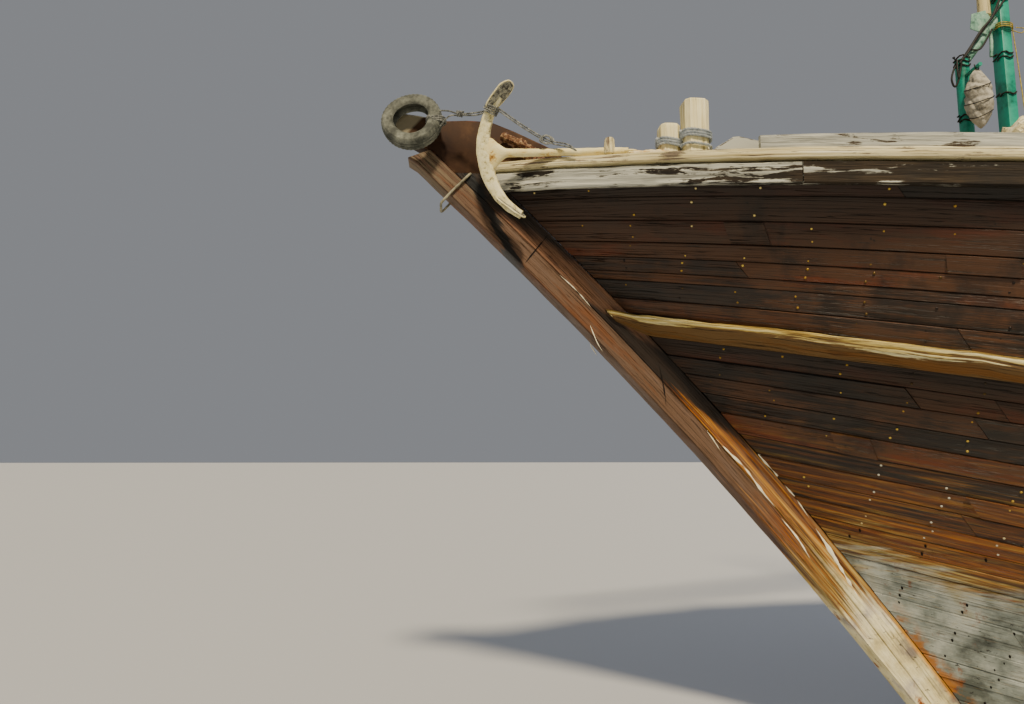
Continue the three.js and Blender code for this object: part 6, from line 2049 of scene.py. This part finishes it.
DOOR_AFT, DOOR_FORE, DOOR_SILL, DOOR_TOP = -6.9, -6.2, FLOOR + 0.12, FLOOR + 1.87


def boarding(low, high, openings, lay):
    """Upright boards from low to high along a wall, cut round openings (low, high, bottom, top). lay places
    a block."""
    edges = sorted({low, high, *(edge for gap in openings for edge in gap[:2])})
    for start, stop in zip(edges, edges[1:]):
        count = max(1, round((stop - start) / BOARD))
        gaps = [gap for gap in openings if gap[0] <= start + 1e-6 and stop - 1e-6 <= gap[1]]
        for k in range(count):
            left, right = mix(start, stop, k / count), mix(start, stop, (k + 1) / count)
            spans = [(FLOOR + 0.0006, WALL_TOP)]
            if gaps:
                spans = [(FLOOR + 0.0006, gaps[0][2]), (gaps[0][3], WALL_TOP)]
            for bottom, top in spans:
                if top - bottom > 0.01:
                    lay(left + 0.0015, right - 0.0015, bottom, top)


def wall_across(bm, x_low, x_high, openings):
    def lay(left, right, bottom, top):
        block(bm, (x_low, left, bottom), (x_high, right, top), 0.0035, (0, 0, 1), tone=choose.random())

    boarding(-HALF, HALF, openings, lay)


TRIM_WIDE, TRIM_THICK, SILL_PAST = 0.075, 0.018, 0.02


def frame_round(bm, low, high, place):
    """Trim round an opening from low to high, as (along, height) pairs. place(a, z, depth) gives a corner
    of it."""
    (a0, z0), (a1, z1) = low, high
    wide = TRIM_WIDE
    spans = [((a0 - wide, z1), (a1 + wide, z1 + wide)), ((a0 - wide, z0), (a0, z1)),
             ((a1, z0), (a1 + wide, z1)), ((a0 - wide - SILL_PAST, z0 - wide), (a1 + wide + SILL_PAST, z0))]
    for k, ((b0, y0), (b1, y1)) in enumerate(spans):
        ends = [place(b0, y0, 0.0), place(b1, y1, TRIM_THICK * (1.8 if k == 3 else 1.0))]
        corners = [[f(p, q) for p, q in zip(*ends)] for f in (min, max)]
        reach = [float(abs(p - q) > 0.1) for p, q in zip(*ends)]
        block(bm, *corners, 0.004, (0, 0, 1) if k in (1, 2) else (reach[0], reach[1], 0.0), tone=0.5)


bm, trim = bmesh.new(), bmesh.new()
front_windows = [(y - 0.33, y + 0.33, GLASS_LOW, GLASS_HIGH) for y in (-0.9, 0.0, 0.9)]
back_windows = [(y - 0.33, y + 0.33, GLASS_LOW, GLASS_HIGH) for y in (-0.7, 0.7)]
wall_across(bm, FORE - WALL, FORE, front_windows)
finish(bm, "wheelhouse_front", HOUSE_PAINT, "house_paint", ["wheelhouse_front"])
bm = bmesh.new()
wall_across(bm, AFT, AFT + WALL, back_windows)
finish(bm, "wheelhouse_back", HOUSE_PAINT, "house_paint", ["wheelhouse_back"])
for gap in front_windows:
    frame_round(trim, (gap[0], gap[2]), (gap[1], gap[3]), lambda a, z, d: (FORE + 0.0004 + d, a, z))
for gap in back_windows:
    frame_round(trim, (gap[0], gap[2]), (gap[1], gap[3]), lambda a, z, d: (AFT - 0.0004 - d, a, z))


def side_wall(bm, side):
    openings = [(DOOR_AFT, DOOR_FORE, DOOR_SILL, DOOR_TOP), (-8.25, -7.25, GLASS_LOW, GLASS_HIGH)]
    y0, y1 = sorted((side * (HALF - WALL), side * HALF))

    def lay(left, right, bottom, top):
        block(bm, (left, y0, bottom), (right, y1, top), 0.0035, (0, 0, 1), tone=choose.random())

    boarding(AFT + WALL + 0.0004, FORE - WALL - 0.0004, openings, lay)


port_and_starboard(side_wall, "wheelhouse_side", HOUSE_PAINT, "house_paint", ["wheelhouse_side"])
for side in (1, -1):
    frame_round(trim, (-8.25, GLASS_LOW), (-7.25, GLASS_HIGH), lambda a, z,
                d: (a, side * (HALF + 0.0004 + d), z))
    for x in (FORE - 0.05, AFT + 0.05):
        y0, y1 = sorted((side * (HALF + 0.0004), side * (HALF + 0.02)))
        block(trim, (x - 0.05, y0, FLOOR + 0.001), (x + 0.05, y1, WALL_TOP), 0.004, (0, 0, 1))
    y0, y1 = sorted((side * (HALF + 0.0004), side * (HALF + 0.018)))
    block(trim, (DOOR_AFT - 0.07, y0, DOOR_TOP), (DOOR_FORE + 0.07, y1, DOOR_TOP + 0.07), 0.004)
    block(trim, (DOOR_AFT - 0.07, y0, DOOR_SILL - 0.115), (DOOR_AFT - 0.002, y1, DOOR_TOP), 0.004, (0, 0, 1))
finish(trim, "wheelhouse_trim", TRIM, "teal_paint")

HINGE_Z = (DOOR_SILL + 0.006 + 0.2, DOOR_TOP - 0.006 - 0.2)
bm = bmesh.new()
for side in (1, -1):
    for z in HINGE_Z:
        y0, y1 = sorted((side * 1.497, side * 1.528))
        block(bm, (DOOR_FORE - 0.033, y0, z - 0.085), (DOOR_FORE + 0.06, y1, z - 0.0604), 0.003)
finish(bm, "door_hinge_lugs", IRON, "steel", ["wheelhouse_side_port", "wheelhouse_side_starboard"])

# %% Doors
DOOR_Y, DOOR_THICK = HALF - WALL + 0.005, 0.045
LEAF = (DOOR_AFT + 0.006, DOOR_FORE - 0.006, DOOR_SILL + 0.006, DOOR_TOP - 0.006)


def door_leaf(bm, side):
    x0, x1, z0, z1 = LEAF

    def part(a0, a1, b0, b1, inset=0.0, along=(0, 0, 1)):
        y0, y1 = sorted((side * (DOOR_Y + inset), side * (DOOR_Y + DOOR_THICK - inset)))
        block(bm, (a0, y0, b0), (a1, y1, b1), 0.004 if inset == 0 else 0.002, along, tone=choose.random())

    stile, rail = 0.09, 0.10
    part(x0, x0 + stile, z0, z1)
    part(x1 - stile, x1, z0, z1)
    for low, high in ((z0, z0 + 0.16), (mix(z0, z1, 0.45), mix(z0, z1, 0.45) + rail), (z1 - rail, z1)):
        part(x0 + stile, x1 - stile, low, high, along=(1, 0, 0))
    for k in range(4):
        a0, a1 = mix(x0 + stile, x1 - stile, k / 4), mix(x0 + stile, x1 - stile, (k + 1) / 4) - 0.0015
        part(a0, a1, z0 + 0.15, z1 - rail + 0.01, 0.010)


def door_iron(bm, side):
    x0, x1, z0, z1 = LEAF
    for z in HINGE_Z:
        tube(bm, [(DOOR_FORE - 0.02, side * 1.514, z + d) for d in (-0.06, 0, 0.06)], 0.0118, 12, 3)
        y0, y1 = sorted((side * 1.4905, side * 1.506))
        block(bm, (DOOR_FORE - 0.24, y0, z - 0.022), (DOOR_FORE - 0.024, y1, z + 0.022), 0.003)
    grip = [(DOOR_AFT + 0.06, 1.488, z0 + 0.8), (DOOR_AFT + 0.06, 1.53, z0 + 0.805),
            (DOOR_AFT + 0.06, 1.544, z0 + 0.865), (DOOR_AFT + 0.06, 1.53, z0 + 0.925),
            (DOOR_AFT + 0.06, 1.488, z0 + 0.93)]
    tube(bm, [(x, side * y, z) for x, y, z in grip], 0.0085, 10, 24)


for side, word in ((1, "port"), (-1, "starboard")):
    for build, name, material, slot in ((door_leaf, "door_leaf", TRIM, "house_paint"),
                                        (door_iron, "door_iron", IRON, "steel")):
        bm = bmesh.new()
        build(bm, side)
        finish(bm, f"{name}_{word}", material, slot, [f"door_{word}"], body=f"door_{word}")

# %% Roof and floor
roof_low, roof_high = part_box("wheelhouse_roof")
bm = bmesh.new()
for k in range(14):
    y0, y1 = mix(roof_low.y, roof_high.y, k / 14), mix(roof_low.y, roof_high.y, (k + 1) / 14)
    block(bm, (roof_low.x + 0.03, y0 + 0.0015, roof_low.z),
          (roof_high.x - 0.03, y1 - 0.0015, roof_high.z - 0.006), 0.003, tone=choose.random())
for x0, x1 in ((roof_low.x, roof_low.x + 0.028), (roof_high.x - 0.028, roof_high.x)):
    block(bm, (x0, roof_low.y, roof_low.z - 0.012), (x1, roof_high.y, roof_high.z), 0.005, (0, 1, 0))
for y0, y1 in ((roof_low.y - 0.02, roof_low.y), (roof_high.y, roof_high.y + 0.02)):
    block(bm, (roof_low.x, y0, roof_low.z - 0.012), (roof_high.x, y1, roof_high.z), 0.005)
finish(bm, "wheelhouse_roof", HOUSE_PAINT, "house_paint", ["wheelhouse_roof"])
floor_low, floor_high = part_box("wheelhouse_floor")
bm = bmesh.new()
for k in range(20):
    y0, y1 = mix(floor_low.y + 0.03, floor_high.y - 0.03, k / 20), mix(floor_low.y + 0.03,
            floor_high.y - 0.03, (k + 1) / 20)
    block(bm, (floor_low.x + 0.03, y0 + 0.001, floor_high.z - 0.05),
          (floor_high.x - 0.03, y1 - 0.001, floor_high.z), 0.003, tone=choose.random())
for side in (1, -1):
    y0, y1 = sorted((side * (floor_high.y - 0.03), side * floor_high.y))
    block(bm, (floor_low.x, y0, floor_low.z), (floor_high.x, y1, floor_high.z), 0.004)
for x0, x1 in ((floor_low.x, floor_low.x + 0.03), (floor_high.x - 0.03, floor_high.x)):
    block(bm, (x0, floor_low.y + 0.03, floor_low.z), (x1, floor_high.y - 0.03, floor_high.z), 0.004,
          (0, 1, 0))
finish(bm, "wheelhouse_floor", DECK_TEAK, "deck_wood", ["wheelhouse_floor"])

# %% [markdown]
# The wheel has a turned hub, eight spokes with shaped handles beyond the rim, and a rim in two layers.

# %% Helm
BRONZE = simple("pitted bronze", [(0.42, "#3a2c14"), (0.54, "#6f5325"), (0.68, "#94733a"),
                                  (0.88, "#b08f52")], 12.0, 0.42, 0.002, 10, metal=0.9)
HELM_X, HELM_Z = -6.6704, FLOOR + 0.85
bm = bmesh.new()
block(bm, (-6.61, -0.16, FLOOR + 0.0006), (-6.39, 0.16, FLOOR + 0.08), 0.008, (0, 1, 0))
block(bm, (-6.585, -0.135, FLOOR + 0.08), (-6.415, 0.135, FLOOR + 0.93), 0.008, (0, 0, 1))
block(bm, (-6.61, -0.16, FLOOR + 0.93), (-6.39, 0.16, FLOOR + 0.98), 0.012, (0, 1, 0))
finish(bm, "helm_stand", POLE, "spar_wood", ["helm_stand"])
bm = bmesh.new()
tube(bm, [(-6.585, 0, HELM_Z), (-6.63, 0, HELM_Z), (-6.67, 0, HELM_Z)],
     lambda a: 0.055 if a < 0.3 else 0.039, 20, 8)
finish(bm, "helm_axle", BRONZE, "bronze", ["helm_stand"])
bm = bmesh.new()
at = Vector((HELM_X - 0.045, 0, HELM_Z))
ring(bm, at, (1, 0, 0), 0.33, 0.038, 10, 64)
ring(bm, at, (1, 0, 0), 0.305, 0.022, 8, 64)
for k in range(8):
    way = Vector((0, math.cos(math.radians(45 * k)), math.sin(math.radians(45 * k))))
    def profile(a):
        if a < 0.72:
            return 0.011 + 0.006 * math.sin(math.pi * min(a / 0.72, 1))
        return 0.010 + 0.008 * math.sin(math.pi * (a - 0.72) / 0.28)

    tube(bm, [at + way * r for r in (0.04, 0.2, 0.33, 0.43)], profile, 12, 30)
finish(bm, "helm_wheel", POLE, "spar_wood", ["helm_wheel"], body="helm")
bm = bmesh.new()
tube(bm, [(HELM_X - 0.0002, 0, HELM_Z), (HELM_X - 0.045, 0, HELM_Z), (HELM_X - 0.09, 0, HELM_Z)],
     lambda a: 0.06 - 0.018 * abs(2 * a - 1) ** 2, 24, 10)
finish(bm, "helm_hub", BRONZE, "bronze", ["helm_wheel"], body="helm")

# %% [markdown]
# The propeller's blades are lens-shaped in section and steeper near the hub than at the tips.

# %% Propeller
PROP_X, PROP_Z, PROP_RADIUS = -10.24, -1.1, 0.45
bm = bmesh.new()
hub_line = [(0.2192, 0.078), (0.10, 0.08), (-0.02, 0.076), (-0.10, 0.062), (-0.148, 0.03)]


def hub_point(a, b):
    k = min(int(a * 4), 3)
    (x0, r0), (x1, r1) = hub_line[k], hub_line[k + 1]
    t = a * 4 - k
    turn = 2 * math.pi * b
    radius = mix(r0, r1, t)
    return Vector((PROP_X + mix(x0, x1, t), radius * math.cos(turn), PROP_Z + radius * math.sin(turn)))


loft(bm, 16, 28, hub_point, (0.37, 0.5))
for k in range(4):
    def blade(a, b):
        radius = mix(0.05, PROP_RADIUS - 0.004, a)
        chord = 0.125 * math.sqrt(max(1 - (2 * a - 0.95) ** 4 * 0.92, 0.0)) if a < 0.999 else 0.01
        turn = 2 * math.pi * b
        pitch = math.radians(mix(62, 34, a))
        along, thick = chord * math.cos(turn), mix(0.02, 0.005, a) * math.sin(turn)
        x = along * math.sin(pitch) + thick * math.cos(pitch)
        across = along * math.cos(pitch) - thick * math.sin(pitch)
        angle = math.radians(90 * k) + across / radius * 0.8 + 0.12 * a
        return Vector((PROP_X + x, radius * math.cos(angle), PROP_Z + radius * math.sin(angle)))

    loft(bm, 22, 24, blade, (0.4, 0.4))
finish(bm, "propeller", BRONZE, "bronze", ["propeller"], body="propeller", smooth=50)

# %% Exhaust, stern bitts and privy
SOOT = simple("sooty steel", [(0.42, "#141210"), (0.54, "#2f2a26"), (0.68, "#57483b"), (0.88, "#7b6350")],
              5.0, 0.62, 0.004, 10, metal=0.6)
pipe_x = AFT - 0.46
bm = bmesh.new()
tube(bm, [(pipe_x, 0.7, deck_z(pipe_x) - 0.045), (pipe_x, 0.7, 5.4), (pipe_x, 0.7, 6.82)], 0.088, 24, 10)
tube(bm, [(pipe_x, 0.7, 6.80), (pipe_x, 0.7, 6.90), (pipe_x - 0.05, 0.7, 6.99),
          (pipe_x - 0.17, 0.7, 7.095)], 0.089, 24, 14)
for z in (4.25, 5.6, 6.8):
    ring(bm, (pipe_x, 0.7, z), (0, 0, 1), 0.094, 0.02, 8, 28)
finish(bm, "exhaust_pipe", SOOT, "steel", ["exhaust_pipe"])
bm = bmesh.new()
bitt_foot = deck_z(-10.25) - 0.05
for side in (1, -1):
    y = side * 0.42
    block(bm, (-10.4, y - 0.1, bitt_foot - 0.02), (-10.2, y + 0.1, bitt_foot + 0.62), 0.014, (0, 0, 1))
    block(bm, (-10.385, y - 0.085, bitt_foot + 0.62), (-10.215, y + 0.085, bitt_foot + 0.7), 0.02, (0, 0, 1))
block(bm, (-10.358, -0.62, bitt_foot + 0.38), (-10.242, 0.62, bitt_foot + 0.52), 0.012, (0, 1, 0))
finish(bm, "stern_bitts", POLE, "spar_wood", ["stern_bitts"])
privy_low, privy_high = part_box("stern_privy")
bm = bmesh.new()
x0, x1, y0, y1 = -10.18, -9.22, 1.77, 2.53
for k in range(8):
    a0, a1 = mix(x0, x1, k / 8) + 0.001, mix(x0, x1, (k + 1) / 8) - 0.001
    block(bm, (a0, y1 - 0.05, privy_low.z + 0.01), (a1, y1, privy_high.z), 0.003, (0, 0, 1),
          tone=choose.random())
    if not -9.96 < (a0 + a1) / 2 < -9.44:
        block(bm, (a0, y0, privy_low.z + 0.01), (a1, y0 + 0.05, privy_high.z), 0.003, (0, 0, 1),
              tone=choose.random())
for x in (x0, x1 - 0.05):
    for k in range(5):
        b0, b1 = mix(y0 + 0.051, y1 - 0.051, k / 5) + 0.001, mix(y0 + 0.051, y1 - 0.051, (k + 1) / 5) - 0.001
        block(bm, (x, b0, privy_low.z + 0.01), (x + 0.05, b1, privy_high.z), 0.003, (0, 0, 1),
              tone=choose.random())
block(bm, (x0, y0, privy_low.z), (x1, y1, privy_low.z + 0.058), 0.004)
finish(bm, "stern_privy", HOUSE_PAINT, "house_paint", ["stern_privy"])

# %% [markdown]
# The stage: a pale floor at the water's level, hiding what the water would hide, and a soft pale sky. The
# key light is a sun softened to seven degrees, high on the port side, so that the rail and the wale throw
# their shadows down the planks wherever the boat is seen from; a weaker, cooler one fills the far side.

# %% Floor, light and sky
stage = bmesh.new()
bmesh.ops.create_grid(stage, x_segments=1, y_segments=1, size=300)
floor_mesh = bpy.data.meshes.new("floor")
stage.to_mesh(floor_mesh)
stage.free()
floor = bpy.data.objects.new("floor", floor_mesh)
floor_paint, _, floor_shader = new_material("pale floor")
floor_shader.inputs["Base Color"].default_value = linear("#b9bab8")
floor_shader.inputs["Roughness"].default_value = 0.7
floor_mesh.materials.append(floor_paint)
bpy.context.scene.collection.objects.link(floor)

sky = bpy.data.worlds.new("sky")
sky.use_nodes = True
sky.node_tree.nodes["Background"].inputs["Color"].default_value = linear("#c9ccd2")
sky.node_tree.nodes["Background"].inputs["Strength"].default_value = 0.40
bpy.context.scene.world = sky
for name, toward, power, spread, swatch in (("key_sun", (0.02, 0.85, 0.95), 5.0, 7, "#ffeccb"),
                                            ("fill_sun", (-0.6, -0.8, 0.7), 0.7, 40, "#dfe8ff")):
    lamp = bpy.data.objects.new(name, bpy.data.lights.new(name, "SUN"))
    lamp.data.energy, lamp.data.angle, lamp.data.color = power, math.radians(spread), linear(swatch)[:3]
    lamp.rotation_euler = Vector(toward).to_track_quat("Z", "Y").to_euler()
    bpy.context.scene.collection.objects.link(lamp)
